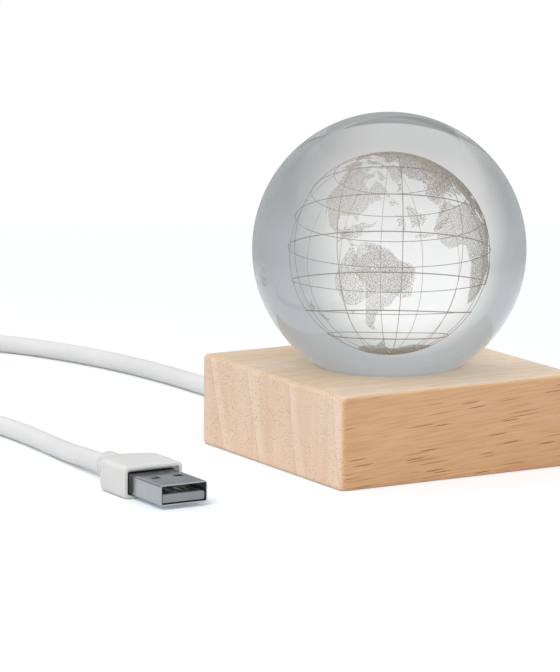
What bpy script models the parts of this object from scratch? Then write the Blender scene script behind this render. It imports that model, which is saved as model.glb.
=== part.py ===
"""Crystal ball lamp: a glass ball on a square wooden base, lit from below, with a USB lead.

Metres, +Z up. The origin is on the floor under the middle of the base.
The lead leaves the base at the back (+Y), is put away as a coil on the left (-X),
and comes back to its plug, which points to the front (-Y).
"""
import math

import bmesh
import bpy
from mathutils import Matrix, Vector

# Fits shared by all pieces
TOUCH_GAP = 0.0003
CUT_OVERRUN = 0.001
FLOOR_CLEARANCE = 0.0001
WELD_DISTANCE = 0.000001

# Glass ball
BALL_DIAMETER = 0.065
BALL_SINK = 0.005
BALL_SEGMENTS = 56
BALL_RINGS = 28

# Globe engraved inside the ball: parallels and meridians as fine channels
GLOBE_RADIUS = 0.0158
GLOBE_SINK = 0.0007
GLOBE_TURN = math.radians(-68)
GLOBE_LEAN = math.radians(1.5)
GLOBE_LEAN_AXIS_TURN = math.radians(-30.5)
PARALLEL_STEP = math.radians(18)
PARALLEL_COUNT = 7
MERIDIAN_COUNT = 12
LINE_WIDTH = 0.00035
VENT_RADIUS = 0.0003

# Wooden base, as wide as the ball
BASE_SIDE = BALL_DIAMETER
BASE_HEIGHT = 0.022
BASE_CORNER_RADIUS = 0.0015
BASE_EDGE_ROUND = 0.0009
WELL_RADIUS = 0.0115
WELL_LEDGE_DROP = 0.0009
PILOT_DEPTH_SHARE = 1.1

# Underside: cover, pocket and pad
PAD_SIDE = 0.040
PAD_THICKNESS = 0.0009
PAD_CORNER_RADIUS = 0.004
COVER_SIDE = 0.0534
COVER_THICKNESS = 0.0013
COVER_CORNER_RADIUS = 0.0047
POCKET_SIDE = 0.047
POCKET_HEADROOM = 0.0005
REAR_HOLE_FLOOR = 0.0006
POCKET_CORNER_RADIUS = 0.008
COVER_SCREW_OFFSET = 0.0236
COVER_SCREW_LENGTH = 0.008
COVER_SCREW_RADIUS = 0.0009
COVER_SCREW_HEAD_RADIUS = 0.0019
COVER_SCREW_HEAD_HEIGHT = 0.0011

# Light unit
DIFFUSER_RADIUS = 0.013
DIFFUSER_THICKNESS = 0.001
DIFFUSER_EDGE = 0.0002
REFLECTOR_HEIGHT = 0.0022
REFLECTOR_FOOT_RADIUS = 0.0105
REFLECTOR_RIM_RADIUS = 0.0119
BOARD_RADIUS = 0.0185
BOARD_THICKNESS = 0.001
BOARD_SCREW_RING = 0.0159
BOARD_SCREW_RADIUS = 0.0009
BOARD_SCREW_LENGTH = 0.006
BOARD_SCREW_HEAD_RADIUS = 0.0017
BOARD_SCREW_HEAD_HEIGHT = 0.0012
BOARD_SCREWS = 3
CHIP_SIDE = 0.005
CHIP_HEIGHT = 0.0016
CHIP_CORNER_RADIUS = 0.0004
CHIP_DISH_RADIUS = 0.002
CHIP_DISH_DEPTH = 0.0004
CHIP_RING = 0.0072
CHIPS_ON_RING = 4
RESISTOR_LENGTH = 0.0032
RESISTOR_WIDTH = 0.0016
RESISTOR_HEIGHT = 0.0006
RESISTOR_SPREAD = 0.004
RESISTOR_BACK = 0.005
LEAD_RADIUS = 0.00065
LEAD_SPREAD = 0.0011
LEAD_DROP = 0.0011
PAD_SPREAD = 0.0035
PAD_BACK = 0.0125

# Lead and its fittings at the base
CORD_RADIUS = 0.0023
CORD_INNER_END = 0.0198
GROMMET_WALL = 0.001
GROMMET_FLANGE_RADIUS = 0.0056
GROMMET_FLANGE_THICKNESS = 0.0015
GROMMET_SLEEVE_LENGTH = 0.008
GROMMET_TIP_WALL = 0.0008
GROMMET_TIP_ROUND = 0.0004
GROMMET_COVERS_CORD = 0.001
CABLE_TIE_THICKNESS = 0.0007
CABLE_TIE_WIDTH = 0.0024
CABLE_TIE_HEAD_SIDE = 0.004
CABLE_TIE_HEAD_INSET = 0.0001

# Route of the free lead, from the grommet to the coil, then from the coil to the plug.
# Each point is (x, y, height above where a resting lead lies).
ROUTE_OUT = (
    (-0.0001, 0.0520, 0.0041),
    (-0.0004, 0.0610, 0.0021),
    (-0.0008, 0.0710, 0.0004),
    (-0.0011, 0.0800, 0.0),
    (-0.0014, 0.0910, 0.0),
    (-0.0023, 0.1077, 0.0),
    (-0.0046, 0.1253, 0.0),
    (-0.0083, 0.1407, 0.0),
    (-0.0131, 0.1544, 0.0),
    (-0.0192, 0.1660, 0.0),
    (-0.0282, 0.1764, 0.0),
    (-0.0400, 0.1836, 0.0),
    (-0.0540, 0.1867, 0.0),
)
ROUTE_BACK = (
    (-0.1022, 0.1365, 0.0042),
    (-0.0992, 0.1245, 0.0022),
    (-0.0940, 0.1118, 0.0007),
    (-0.0868, 0.0992, 0.0),
    (-0.0792, 0.0877, 0.0),
    (-0.0733, 0.0765, 0.0),
    (-0.0707, 0.0660, 0.0),
    (-0.0701, 0.0550, 0.0),
    (-0.0704, 0.0442, 0.0),
    (-0.0710, 0.0345, 0.0),
    (-0.0717, 0.0255, 0.0002),
    (-0.0723, 0.0165, 0.0007),
)
CORD_POINT_SPACING = 0.0092

# Coil of the rest of the lead
COIL_X = -0.072
COIL_Y = 0.1563
COIL_MEAN_RADIUS = 0.025
COIL_TURNS = 4.25
COIL_START_ANGLE = math.radians(90)
COIL_TURN_GAP = 0.0006
COIL_POINTS_PER_TURN = 24
COIL_CLIMB_TURNS = 0.5
COIL_TIE_ANGLE = math.radians(315)
COIL_TIE_WIDTH = 0.005
COIL_TIE_THICKNESS = 0.0009
COIL_TIE_CLEARANCE = 0.0005
COIL_TIE_CORNER = 0.002
COIL_TIE_LIFT_ANGLE = math.radians(60)

# USB plug
PLUG_X = -0.0726
PLUG_TIP_Y = -0.0304
PLUG_AXIS_HEIGHT = 0.0034
SHELL_WIDTH = 0.012
SHELL_HEIGHT = 0.0048
SHELL_WALL = 0.0003
SHELL_EXPOSED = 0.0141
SHELL_HIDDEN = 0.004
SHELL_CORNER_RADIUS = 0.0006
WINDOW_LENGTH = 0.0021
WINDOW_WIDTH = 0.0023
WINDOW_SPREAD = 0.003
WINDOW_FROM_TIP = 0.0083
MARK_DEPTH = 0.00015
TAB_MARK_LENGTH = 0.0018
TAB_MARK_WIDTH = 0.0003
TAB_MARK_FROM_BODY = 0.0007
DIMPLE_RADIUS = 0.0003
DIMPLE_FROM_BODY = 0.0014
DIMPLE_OFFSET = 0.0014
SEAM_WIDTH = 0.0002
TONGUE_HEIGHT = 0.0019
TONGUE_SETBACK = 0.0003
CONTACT_WIDTH = 0.001
CONTACT_THICKNESS = 0.0003
CONTACT_SETBACK = 0.001
CONTACT_OUTER_OFFSET = 0.0035
CONTACT_INNER_OFFSET = 0.001
OVERMOULD_WIDTH = 0.0153
OVERMOULD_HEIGHT = 0.0076
OVERMOULD_STRAIGHT = 0.0105
OVERMOULD_SHOULDER = 0.0082
OVERMOULD_CORNER = 0.0013
OVERMOULD_EDGE = 0.0006
FRONT_RIM = 0.0009
FRONT_RECESS_DEPTH = 0.0012
TOP_FACET_SHARE = 0.75
NECK_LENGTH = 0.0034
NECK_RADIUS = 0.0034
NECK_GROOVE_DEPTH = 0.0005
NECK_GROOVES = 2
NECK_BORE_DEPTH = 0.003

# Heights and places worked out from the sizes above
BALL_RADIUS = BALL_DIAMETER / 2
BALL_CENTRE_HEIGHT = BASE_HEIGHT - BALL_SINK + BALL_RADIUS
SEAT_RADIUS = BALL_RADIUS + TOUCH_GAP
COVER_BOTTOM = PAD_THICKNESS + TOUCH_GAP
COVER_TOP = COVER_BOTTOM + COVER_THICKNESS
REBATE_TOP = COVER_TOP + TOUCH_GAP
LEDGE_HEIGHT = BASE_HEIGHT - BALL_SINK - WELL_LEDGE_DROP
DIFFUSER_TOP = LEDGE_HEIGHT - TOUCH_GAP
DIFFUSER_BOTTOM = DIFFUSER_TOP - DIFFUSER_THICKNESS
REFLECTOR_TOP = DIFFUSER_BOTTOM - TOUCH_GAP
REFLECTOR_BOTTOM = REFLECTOR_TOP - REFLECTOR_HEIGHT
BOARD_TOP = REFLECTOR_BOTTOM - TOUCH_GAP
BOARD_BOTTOM = BOARD_TOP - BOARD_THICKNESS
BOARD_SEAT = BOARD_TOP + TOUCH_GAP
BORE_RADIUS = DIFFUSER_RADIUS + TOUCH_GAP
RECESS_RADIUS = BOARD_RADIUS + TOUCH_GAP
CORD_REST_HEIGHT = CORD_RADIUS + FLOOR_CLEARANCE
GROMMET_BORE = CORD_RADIUS + TOUCH_GAP
GROMMET_RADIUS = GROMMET_BORE + GROMMET_WALL
CORD_HEIGHT = REBATE_TOP + REAR_HOLE_FLOOR + TOUCH_GAP + GROMMET_RADIUS
CABLE_TIE_RADIUS = CORD_RADIUS + TOUCH_GAP + CABLE_TIE_THICKNESS
POCKET_TOP = CORD_HEIGHT + CABLE_TIE_RADIUS + POCKET_HEADROOM
GROMMET_FACE = BASE_SIDE / 2 + TOUCH_GAP
GROMMET_TIP = GROMMET_FACE + GROMMET_FLANGE_THICKNESS + GROMMET_SLEEVE_LENGTH
EXIT_Y = GROMMET_TIP - GROMMET_COVERS_CORD
COIL_PITCH = 2 * CORD_RADIUS + COIL_TURN_GAP
COIL_OUTER_RADIUS = COIL_MEAN_RADIUS + COIL_PITCH * COIL_TURNS / 4
BODY_LIFT = OVERMOULD_HEIGHT / 2 - PLUG_AXIS_HEIGHT
OVERMOULD_FRONT_Y = PLUG_TIP_Y + SHELL_EXPOSED
NECK_FRONT_Y = OVERMOULD_FRONT_Y + OVERMOULD_STRAIGHT + OVERMOULD_SHOULDER
NECK_BACK_Y = NECK_FRONT_Y + NECK_LENGTH
NECK_BORE_FLOOR_Y = NECK_BACK_Y - NECK_BORE_DEPTH

# Shapes of the screws, as shares of their radius or head height
RECESS_WIDTH_SHARE = 0.16
RECESS_LENGTH_SHARE = 0.6
RECESS_DEPTH_SHARE = 0.7
HEAD_DOME_SHARE = 0.7
TIP_LENGTH_SHARE = 1.5

# Corners of a channel's cross-section, as signs of its two half widths
SECTION_SIGNS = ((-1, -1), (1, -1), (1, 1), (-1, 1))

# Facets and steps
ROUND_SEGMENTS = 48
PARALLEL_STEPS = 3
MERIDIAN_STEPS = 2
POLAR_STEPS = 3
MIDDLE_SEGMENTS = 32
SMALL_SEGMENTS = 16
CORNER_STEPS = 6
CHIP_CORNER_STEPS = 3
SMALL_CORNER_STEPS = 2
TINY_CORNER_STEPS = 1
EDGE_STEPS = 3
SHOULDER_STEPS = 8
ROUTE_STEPS = 12
LEAD_STEPS = 7
CORD_BEVEL_STEPS = 3
LEAD_BEVEL_STEPS = 2
COIL_BEVEL_STEPS = 1
SMOOTH_ANGLE = math.radians(35)
MM_PER_METRE = 1000


# Materials

def paint(name, colour, roughness, metallic=0.0):
    """One Principled material with a plain colour."""
    material = bpy.data.materials.new(name)
    material.use_nodes = True
    shader = material.node_tree.nodes["Principled BSDF"]
    shader.inputs["Base Color"].default_value = (*colour, 1.0)
    shader.inputs["Roughness"].default_value = roughness
    shader.inputs["Metallic"].default_value = metallic
    return material


# Mesh helpers

def add_object(name, mesh, material=None):
    """Link a mesh to the scene as one named piece, smooth where it is round."""
    mesh.shade_smooth()
    mesh.set_sharp_from_angle(angle=SMOOTH_ANGLE)
    piece = bpy.data.objects.new(name, mesh)
    bpy.context.collection.objects.link(piece)
    if material is not None:
        mesh.materials.append(material)
    return piece


def finish_mesh(name, shape):
    """Close a bmesh into a mesh whose faces point out."""
    bmesh.ops.remove_doubles(shape, verts=shape.verts, dist=WELD_DISTANCE)
    bmesh.ops.recalc_face_normals(shape, faces=shape.faces)
    mesh = bpy.data.meshes.new(name)
    shape.to_mesh(mesh)
    shape.free()
    return mesh


def rounded_outline(width, depth, radius, steps=CORNER_STEPS):
    """Corner points of a rounded rectangle round the middle, anticlockwise."""
    points = []
    for quarter in range(4):
        side_x = 1 if quarter in (0, 3) else -1
        side_y = 1 if quarter in (0, 1) else -1
        centre_x = side_x * (width / 2 - radius)
        centre_y = side_y * (depth / 2 - radius)
        for step in range(steps + 1):
            angle = (quarter + step / steps) * math.pi / 2
            points.append((centre_x + radius * math.cos(angle), centre_y + radius * math.sin(angle)))
    return points


def lofted_mesh(name, rings):
    """Skin rings of equal point counts, with a flat cap on the first and the last."""
    shape = bmesh.new()
    rows = [[shape.verts.new(point) for point in ring] for ring in rings]
    count = len(rows[0])
    for lower, upper in zip(rows, rows[1:]):
        for i in range(count):
            j = (i + 1) % count
            shape.faces.new((lower[i], lower[j], upper[j], upper[i]))
    shape.faces.new(rows[0][::-1])
    shape.faces.new(rows[-1])
    return finish_mesh(name, shape)


def slab_mesh(name, outline, bottom, top, edge=0.0):
    """An outline raised from bottom to top, its two rims rounded by edge."""
    def ring(height, inset):
        half_x = max(abs(x) for x, _ in outline)
        half_y = max(abs(y) for _, y in outline)
        return [(x * (1 - inset / half_x), y * (1 - inset / half_y), height) for x, y in outline]

    if edge == 0.0:
        return lofted_mesh(name, [ring(bottom, 0.0), ring(top, 0.0)])
    rings = []
    for step in range(EDGE_STEPS + 1):
        angle = step / EDGE_STEPS * math.pi / 2
        rings.append(ring(bottom + edge * (1 - math.sin(angle)), edge * (1 - math.cos(angle))))
    rings.reverse()
    upper = [[(x, y, top + bottom - z) for x, y, z in row] for row in reversed(rings)]
    return lofted_mesh(name, rings + upper)


def turned_mesh(name, profile, segments=ROUND_SEGMENTS, ring=False):
    """Spin (radius, height) points round Z. A ring's profile closes on itself."""
    shape = bmesh.new()
    verts = [shape.verts.new((radius, 0.0, height)) for radius, height in profile]
    edges = [shape.edges.new(pair) for pair in zip(verts, verts[1:])]
    if ring:
        edges.append(shape.edges.new((verts[-1], verts[0])))
    bmesh.ops.spin(shape, geom=verts + edges, cent=(0, 0, 0), axis=(0, 0, 1),
                   angle=2 * math.pi, steps=segments, use_merge=True)
    return finish_mesh(name, shape)


def along_y(piece, x, y, height):
    """Turn a piece made along Z so that its +Z points to +Y, and place it."""
    piece.matrix_world = Matrix.Translation((x, y, height)) @ Matrix.Rotation(-math.pi / 2, 4, "X")
    return piece


def cutter(name, mesh):
    """A hidden wire object that only cuts."""
    guide = add_object(name, mesh)
    guide.hide_render = True
    guide.display_type = "WIRE"
    return guide


def combine(piece, tool, operation="DIFFERENCE"):
    """Cut the tool out of the piece, or join it on."""
    modifier = piece.modifiers.new(tool.name, "BOOLEAN")
    modifier.operation = operation
    modifier.solver = "EXACT"
    modifier.object = tool


def rod_profile(radius, bottom, top):
    """Profile of a plain cylinder."""
    return [(0.0, bottom), (radius, bottom), (radius, top), (0.0, top)]


def copies(name, mesh, places, material):
    """One object for each place (x, y), all with the same mesh, numbered from 1."""
    mesh.materials.append(material)
    pieces = []
    for number, (x, y) in enumerate(places, 1):
        piece = add_object(name + "_" + str(number), mesh)
        piece.location = (x, y, 0.0)
        pieces.append(piece)
    return pieces


def cut_at(piece, name, mesh, places):
    """Cut the same mesh out of a piece at each place (x, y), with one many-bodied cutter."""
    shape = bmesh.new()
    for x, y in places:
        copy = mesh.copy()
        copy.transform(Matrix.Translation((x, y, 0.0)))
        shape.from_mesh(copy)
    tools = bpy.data.meshes.new(name)
    shape.to_mesh(tools)
    shape.free()
    combine(piece, cutter(name, tools))


# Ball

def net_corner(latitude, longitude, north=0.0, east=0.0, out=0.0):
    """A place on the globe, moved north, east and outwards, seen from the globe's centre."""
    flat = math.cos(latitude)
    outwards = Vector((flat * math.cos(longitude), flat * math.sin(longitude), math.sin(latitude)))
    eastwards = Vector((-math.sin(longitude), math.cos(longitude), 0.0))
    northwards = outwards.cross(eastwards)
    return outwards * (GLOBE_RADIUS + out) + northwards * north + eastwards * east


def add_crossing(shape, latitude, longitude):
    """A block where a parallel crosses a meridian. Returns its four open sides."""
    half = LINE_WIDTH / 2
    corner = {}
    for out in (-1, 1):
        for north, east in SECTION_SIGNS:
            place = net_corner(latitude, longitude, north * half, east * half, out * half)
            corner[north, east, out] = shape.verts.new(place)
        shape.faces.new([corner[north, east, out] for north, east in SECTION_SIGNS])
    return {
        "east": [corner[side, 1, out] for side, out in SECTION_SIGNS],
        "west": [corner[side, -1, out] for side, out in SECTION_SIGNS],
        "north": [corner[1, side, out] for side, out in SECTION_SIGNS],
        "south": [corner[-1, side, out] for side, out in SECTION_SIGNS],
    }


def add_section(shape, latitude, longitude, along_parallel):
    """The four corners of a channel's cross-section."""
    half = LINE_WIDTH / 2
    section = []
    for side, out in SECTION_SIGNS:
        north = side * half if along_parallel else 0.0
        east = 0.0 if along_parallel else side * half
        section.append(shape.verts.new(net_corner(latitude, longitude, north, east, out * half)))
    return section


def join_sections(shape, sections):
    """Skin the four sides of a channel through its cross-sections."""
    for start, end in zip(sections, sections[1:]):
        for i in range(len(start)):
            j = (i + 1) % len(start)
            shape.faces.new((start[i], start[j], end[j], end[i]))


def add_pole(shape, pole):
    """A plate with one open side for each meridian. Returns its sides and its outer rim."""
    step = 2 * math.pi / MERIDIAN_COUNT
    reach = LINE_WIDTH / 2 / math.sin(step / 2)
    rims = {}
    for out in (-1, 1):
        height = pole * (GLOBE_RADIUS + out * LINE_WIDTH / 2)
        rims[out] = []
        for column in range(MERIDIAN_COUNT):
            turn = (column - 0.5) * step
            rims[out].append(shape.verts.new((reach * math.cos(turn), reach * math.sin(turn), height)))
    shape.faces.new(rims[-1])
    sides = []
    for column in range(MERIDIAN_COUNT):
        corner = {-1: column, 1: (column + 1) % MERIDIAN_COUNT}
        sides.append([rims[out][corner[side]] for side, out in SECTION_SIGNS])
    return sides, rims[1]


def add_polar_channels(shape, pole, latitude, longitudes, open_sides):
    """Meridians from the last parallel to a pole. Returns the outer rim of the pole's plate."""
    pole_sides, rim = add_pole(shape, pole)
    climb = (pole * math.pi / 2 - latitude) / POLAR_STEPS
    for longitude, start, end in zip(longitudes, open_sides, pole_sides):
        middle = [add_section(shape, latitude + climb * step, longitude, False)
                  for step in range(1, POLAR_STEPS)]
        join_sections(shape, [start, *middle, end])
    return rim


def add_vent(shape, rim):
    """A fine bore from the plate at the lower pole out of the underside of the ball."""
    for height in (GLOBE_RADIUS + LINE_WIDTH + VENT_RADIUS, BALL_RADIUS + GLOBE_SINK + CUT_OVERRUN):
        row = []
        for corner in rim:
            place = Vector((corner.co.x, corner.co.y, 0.0)).normalized() * VENT_RADIUS
            row.append(shape.verts.new((place.x, place.y, -height)))
        join_sections(shape, [rim, row])
        rim = row
    shape.faces.new(rim)


def engraving_mesh():
    """The globe's net as one closed tool, seen from the ball's centre.

    The vent leaves the ball underneath, in its seat, so the net is no sealed hollow.
    """
    shape = bmesh.new()
    latitudes = [(row - (PARALLEL_COUNT - 1) / 2) * PARALLEL_STEP for row in range(PARALLEL_COUNT)]
    turn = 2 * math.pi / MERIDIAN_COUNT
    longitudes = [column * turn for column in range(MERIDIAN_COUNT)]
    net = [[add_crossing(shape, latitude, longitude) for longitude in longitudes] for latitude in latitudes]
    for latitude, row in zip(latitudes, net):
        for longitude, start, end in zip(longitudes, row, row[1:] + row[:1]):
            middle = [add_section(shape, latitude, longitude + turn * step / PARALLEL_STEPS, True)
                      for step in range(1, PARALLEL_STEPS)]
            join_sections(shape, [start["east"], *middle, end["west"]])
    for latitude, row, following in zip(latitudes, net, net[1:]):
        for longitude, start, end in zip(longitudes, row, following):
            middle = [add_section(shape, latitude + PARALLEL_STEP * step / MERIDIAN_STEPS, longitude, False)
                      for step in range(1, MERIDIAN_STEPS)]
            join_sections(shape, [start["north"], *middle, end["south"]])
    upper = [crossing["north"] for crossing in net[-1]]
    shape.faces.new(add_polar_channels(shape, 1, latitudes[-1], longitudes, upper))
    lower = [crossing["south"] for crossing in net[0]]
    add_vent(shape, add_polar_channels(shape, -1, latitudes[0], longitudes, lower))

    lean_axis = Vector((math.cos(GLOBE_LEAN_AXIS_TURN), math.sin(GLOBE_LEAN_AXIS_TURN), 0.0))
    lean = Matrix.Rotation(GLOBE_LEAN, 4, lean_axis) @ Matrix.Rotation(GLOBE_TURN, 4, "Z")
    bmesh.ops.transform(shape, verts=shape.verts, matrix=Matrix.Translation((0.0, 0.0, -GLOBE_SINK)) @ lean)
    return finish_mesh("cut_engraving", shape)


def make_ball(glass):
    """The glass ball with its engraved globe, its origin at its own centre."""
    shape = bmesh.new()
    bmesh.ops.create_uvsphere(shape, u_segments=BALL_SEGMENTS, v_segments=BALL_RINGS, radius=BALL_RADIUS)
    ball = add_object("crystal_ball", finish_mesh("crystal_ball", shape), glass)
    ball.location.z = BALL_CENTRE_HEIGHT
    engraving = cutter("cut_engraving", engraving_mesh())
    engraving.location.z = BALL_CENTRE_HEIGHT
    combine(ball, engraving)
    return ball


# Wooden base

def board_screw_places():
    """Places of the board's screws, spread evenly, one at the front."""
    places = []
    for i in range(BOARD_SCREWS):
        angle = -math.pi / 2 + i * 2 * math.pi / BOARD_SCREWS
        places.append((BOARD_SCREW_RING * math.cos(angle), BOARD_SCREW_RING * math.sin(angle)))
    return places


def cover_screw_places():
    """Places of the cover's screws, near its corners."""
    return [(x * COVER_SCREW_OFFSET, y * COVER_SCREW_OFFSET) for x in (-1, 1) for y in (-1, 1)]


def make_base(wood):
    """The block, with seat, light well, recess for the board, pocket, rebate, rear hole and screw holes."""
    outline = rounded_outline(BASE_SIDE, BASE_SIDE, BASE_CORNER_RADIUS)
    block = slab_mesh("wooden_base", outline, 0.0, BASE_HEIGHT, BASE_EDGE_ROUND)
    base = add_object("wooden_base", block, wood)

    shape = bmesh.new()
    bmesh.ops.create_uvsphere(shape, u_segments=BALL_SEGMENTS, v_segments=BALL_RINGS, radius=SEAT_RADIUS)
    seat = cutter("cut_seat", finish_mesh("cut_seat", shape))
    seat.location.z = BALL_CENTRE_HEIGHT
    combine(base, seat)

    well = turned_mesh("cut_well", [
        (0.0, REBATE_TOP - CUT_OVERRUN),
        (RECESS_RADIUS, REBATE_TOP - CUT_OVERRUN),
        (RECESS_RADIUS, BOARD_SEAT),
        (BORE_RADIUS, BOARD_SEAT),
        (BORE_RADIUS, LEDGE_HEIGHT),
        (WELL_RADIUS, LEDGE_HEIGHT),
        (WELL_RADIUS, BASE_HEIGHT),
        (0.0, BASE_HEIGHT),
    ])
    combine(base, cutter("cut_well", well))

    outline = rounded_outline(POCKET_SIDE, POCKET_SIDE, POCKET_CORNER_RADIUS)
    pocket = cutter("cut_pocket", slab_mesh("cut_pocket", outline, REBATE_TOP - CUT_OVERRUN, POCKET_TOP))
    island = turned_mesh("keep_island", rod_profile(
        RECESS_RADIUS - CUT_OVERRUN, REBATE_TOP - 2 * CUT_OVERRUN, BASE_HEIGHT))
    combine(pocket, cutter("keep_island", island))
    combine(base, pocket)

    rebate_side = COVER_SIDE + 2 * TOUCH_GAP
    rebate = rounded_outline(rebate_side, rebate_side, COVER_CORNER_RADIUS + TOUCH_GAP)
    combine(base, cutter("cut_rebate", slab_mesh("cut_rebate", rebate, -CUT_OVERRUN, REBATE_TOP)))

    hole_length = BASE_SIDE / 2 - POCKET_SIDE / 2 + 2 * CUT_OVERRUN
    hole = rod_profile(GROMMET_RADIUS + TOUCH_GAP, 0.0, hole_length)
    rear_hole = cutter("cut_rear_hole", turned_mesh("cut_rear_hole", hole, MIDDLE_SEGMENTS))
    combine(base, along_y(rear_hole, 0.0, POCKET_SIDE / 2 - CUT_OVERRUN, CORD_HEIGHT))

    board_pilot = turned_mesh("board_pilot", rod_profile(
        BOARD_SCREW_RADIUS + TOUCH_GAP, BOARD_SEAT - CUT_OVERRUN,
        BOARD_BOTTOM + BOARD_SCREW_LENGTH * PILOT_DEPTH_SHARE), SMALL_SEGMENTS)
    cut_at(base, "cut_board_pilots", board_pilot, board_screw_places())
    cover_pilot = turned_mesh("cover_pilot", rod_profile(
        COVER_SCREW_RADIUS + TOUCH_GAP, REBATE_TOP - CUT_OVERRUN,
        COVER_BOTTOM + COVER_SCREW_LENGTH * PILOT_DEPTH_SHARE), SMALL_SEGMENTS)
    cut_at(base, "cut_cover_pilots", cover_pilot, cover_screw_places())
    return base


# Light unit

def make_diffuser(frosted):
    """Frosted disc against the ledge of the light well."""
    profile = [
        (0.0, DIFFUSER_BOTTOM),
        (DIFFUSER_RADIUS - DIFFUSER_EDGE, DIFFUSER_BOTTOM),
        (DIFFUSER_RADIUS, DIFFUSER_BOTTOM + DIFFUSER_EDGE),
        (DIFFUSER_RADIUS, DIFFUSER_TOP - DIFFUSER_EDGE),
        (DIFFUSER_RADIUS - DIFFUSER_EDGE, DIFFUSER_TOP),
        (0.0, DIFFUSER_TOP),
    ]
    return add_object("diffuser_disc", turned_mesh("diffuser_disc", profile), frosted)


def make_reflector(plastic):
    """Spacer ring whose inside opens upwards like a funnel."""
    profile = [
        (REFLECTOR_FOOT_RADIUS, REFLECTOR_BOTTOM),
        (DIFFUSER_RADIUS, REFLECTOR_BOTTOM),
        (DIFFUSER_RADIUS, REFLECTOR_TOP),
        (REFLECTOR_RIM_RADIUS, REFLECTOR_TOP),
    ]
    return add_object("reflector_ring", turned_mesh("reflector_ring", profile, ring=True), plastic)


def make_board(board_material):
    """Round board with its screw holes."""
    profile = rod_profile(BOARD_RADIUS, BOARD_BOTTOM, BOARD_TOP)
    board = add_object("led_board", turned_mesh("led_board", profile), board_material)
    hole = turned_mesh("board_hole", rod_profile(
        BOARD_SCREW_RADIUS + TOUCH_GAP, BOARD_BOTTOM - CUT_OVERRUN, BOARD_TOP + CUT_OVERRUN), SMALL_SEGMENTS)
    cut_at(board, "cut_board_holes", hole, board_screw_places())
    return board


def make_chips(chip_material):
    """One LED in the middle and a ring of them, each with its round dish."""
    bottom = BOARD_TOP + TOUCH_GAP
    top = bottom + CHIP_HEIGHT
    floor = top - CHIP_DISH_DEPTH
    shape = bmesh.new()
    square = rounded_outline(CHIP_SIDE, CHIP_SIDE, CHIP_CORNER_RADIUS, CHIP_CORNER_STEPS)
    count = len(square)
    circle = [(CHIP_DISH_RADIUS * x / math.hypot(x, y), CHIP_DISH_RADIUS * y / math.hypot(x, y))
              for x, y in square]
    rings = [
        [(x, y, bottom) for x, y in square],
        [(x, y, top) for x, y in square],
        [(x, y, top) for x, y in circle],
        [(x, y, floor) for x, y in circle],
    ]
    rows = [[shape.verts.new(point) for point in ring] for ring in rings]
    for lower, upper in zip(rows, rows[1:]):
        for i in range(count):
            j = (i + 1) % count
            shape.faces.new((lower[i], lower[j], upper[j], upper[i]))
    shape.faces.new(rows[0][::-1])
    shape.faces.new(rows[-1])
    places = [(0.0, 0.0)]
    for i in range(CHIPS_ON_RING):
        angle = i * 2 * math.pi / CHIPS_ON_RING
        places.append((CHIP_RING * math.cos(angle), CHIP_RING * math.sin(angle)))
    return copies("led_chip", finish_mesh("led_chip", shape), places, chip_material)


def make_resistors(ceramic):
    """Two chip resistors under the board."""
    outline = rounded_outline(RESISTOR_LENGTH, RESISTOR_WIDTH, RESISTOR_HEIGHT / 4, TINY_CORNER_STEPS)
    top = BOARD_BOTTOM - TOUCH_GAP
    mesh = slab_mesh("led_resistor", outline, top - RESISTOR_HEIGHT, top)
    places = [(side * RESISTOR_SPREAD, RESISTOR_BACK) for side in (-1, 1)]
    return copies("led_resistor", mesh, places, ceramic)


def cross_recess(radius, bottom, depth):
    """A cross that cuts a screwdriver recess into a head that faces down."""
    arm = radius * RECESS_LENGTH_SHARE
    half = radius * RECESS_WIDTH_SHARE
    outline = []
    for quarter in range(4):
        turn = Matrix.Rotation(quarter * math.pi / 2, 2)
        outline += [turn @ Vector(corner) for corner in ((arm, -half), (arm, half), (half, half))]
    return lofted_mesh("recess", [
        [(x, y, bottom - CUT_OVERRUN) for x, y in outline],
        [(x, y, bottom + depth) for x, y in outline],
    ])


def make_screws(name, places, profile, head_radius, head_height, steel):
    """Equal screws that point up, one object for each place, with crossed recesses."""
    screws = copies(name, turned_mesh(name, profile, SMALL_SEGMENTS), places, steel)
    recess = cross_recess(head_radius, profile[0][1], head_height * RECESS_DEPTH_SHARE)
    for screw in screws:
        tool = cutter("cut_" + screw.name, recess)
        tool.location = screw.location
        combine(screw, tool)
    return screws


def make_board_screws(steel):
    """Pan head screws from below, through the board into the wood."""
    seat = BOARD_BOTTOM - TOUCH_GAP
    low = seat - BOARD_SCREW_HEAD_HEIGHT
    tip = seat + BOARD_SCREW_LENGTH
    profile = [
        (0.0, low),
        (BOARD_SCREW_HEAD_RADIUS * HEAD_DOME_SHARE, low),
        (BOARD_SCREW_HEAD_RADIUS, low + BOARD_SCREW_HEAD_HEIGHT / 2),
        (BOARD_SCREW_HEAD_RADIUS, seat),
        (BOARD_SCREW_RADIUS, seat),
        (BOARD_SCREW_RADIUS, tip - BOARD_SCREW_RADIUS * TIP_LENGTH_SHARE),
        (0.0, tip),
    ]
    return make_screws("board_screw", board_screw_places(), profile,
                       BOARD_SCREW_HEAD_RADIUS, BOARD_SCREW_HEAD_HEIGHT, steel)


def make_cover_screws(steel):
    """Countersunk screws, flush with the outside of the cover."""
    low = COVER_BOTTOM
    tip = low + COVER_SCREW_LENGTH
    profile = [
        (0.0, low),
        (COVER_SCREW_HEAD_RADIUS, low),
        (COVER_SCREW_RADIUS, low + COVER_SCREW_HEAD_HEIGHT),
        (COVER_SCREW_RADIUS, tip - COVER_SCREW_RADIUS * TIP_LENGTH_SHARE),
        (0.0, tip),
    ]
    return make_screws("cover_screw", cover_screw_places(), profile,
                       COVER_SCREW_HEAD_RADIUS, COVER_SCREW_HEAD_HEIGHT, steel)


# Underside

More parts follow.
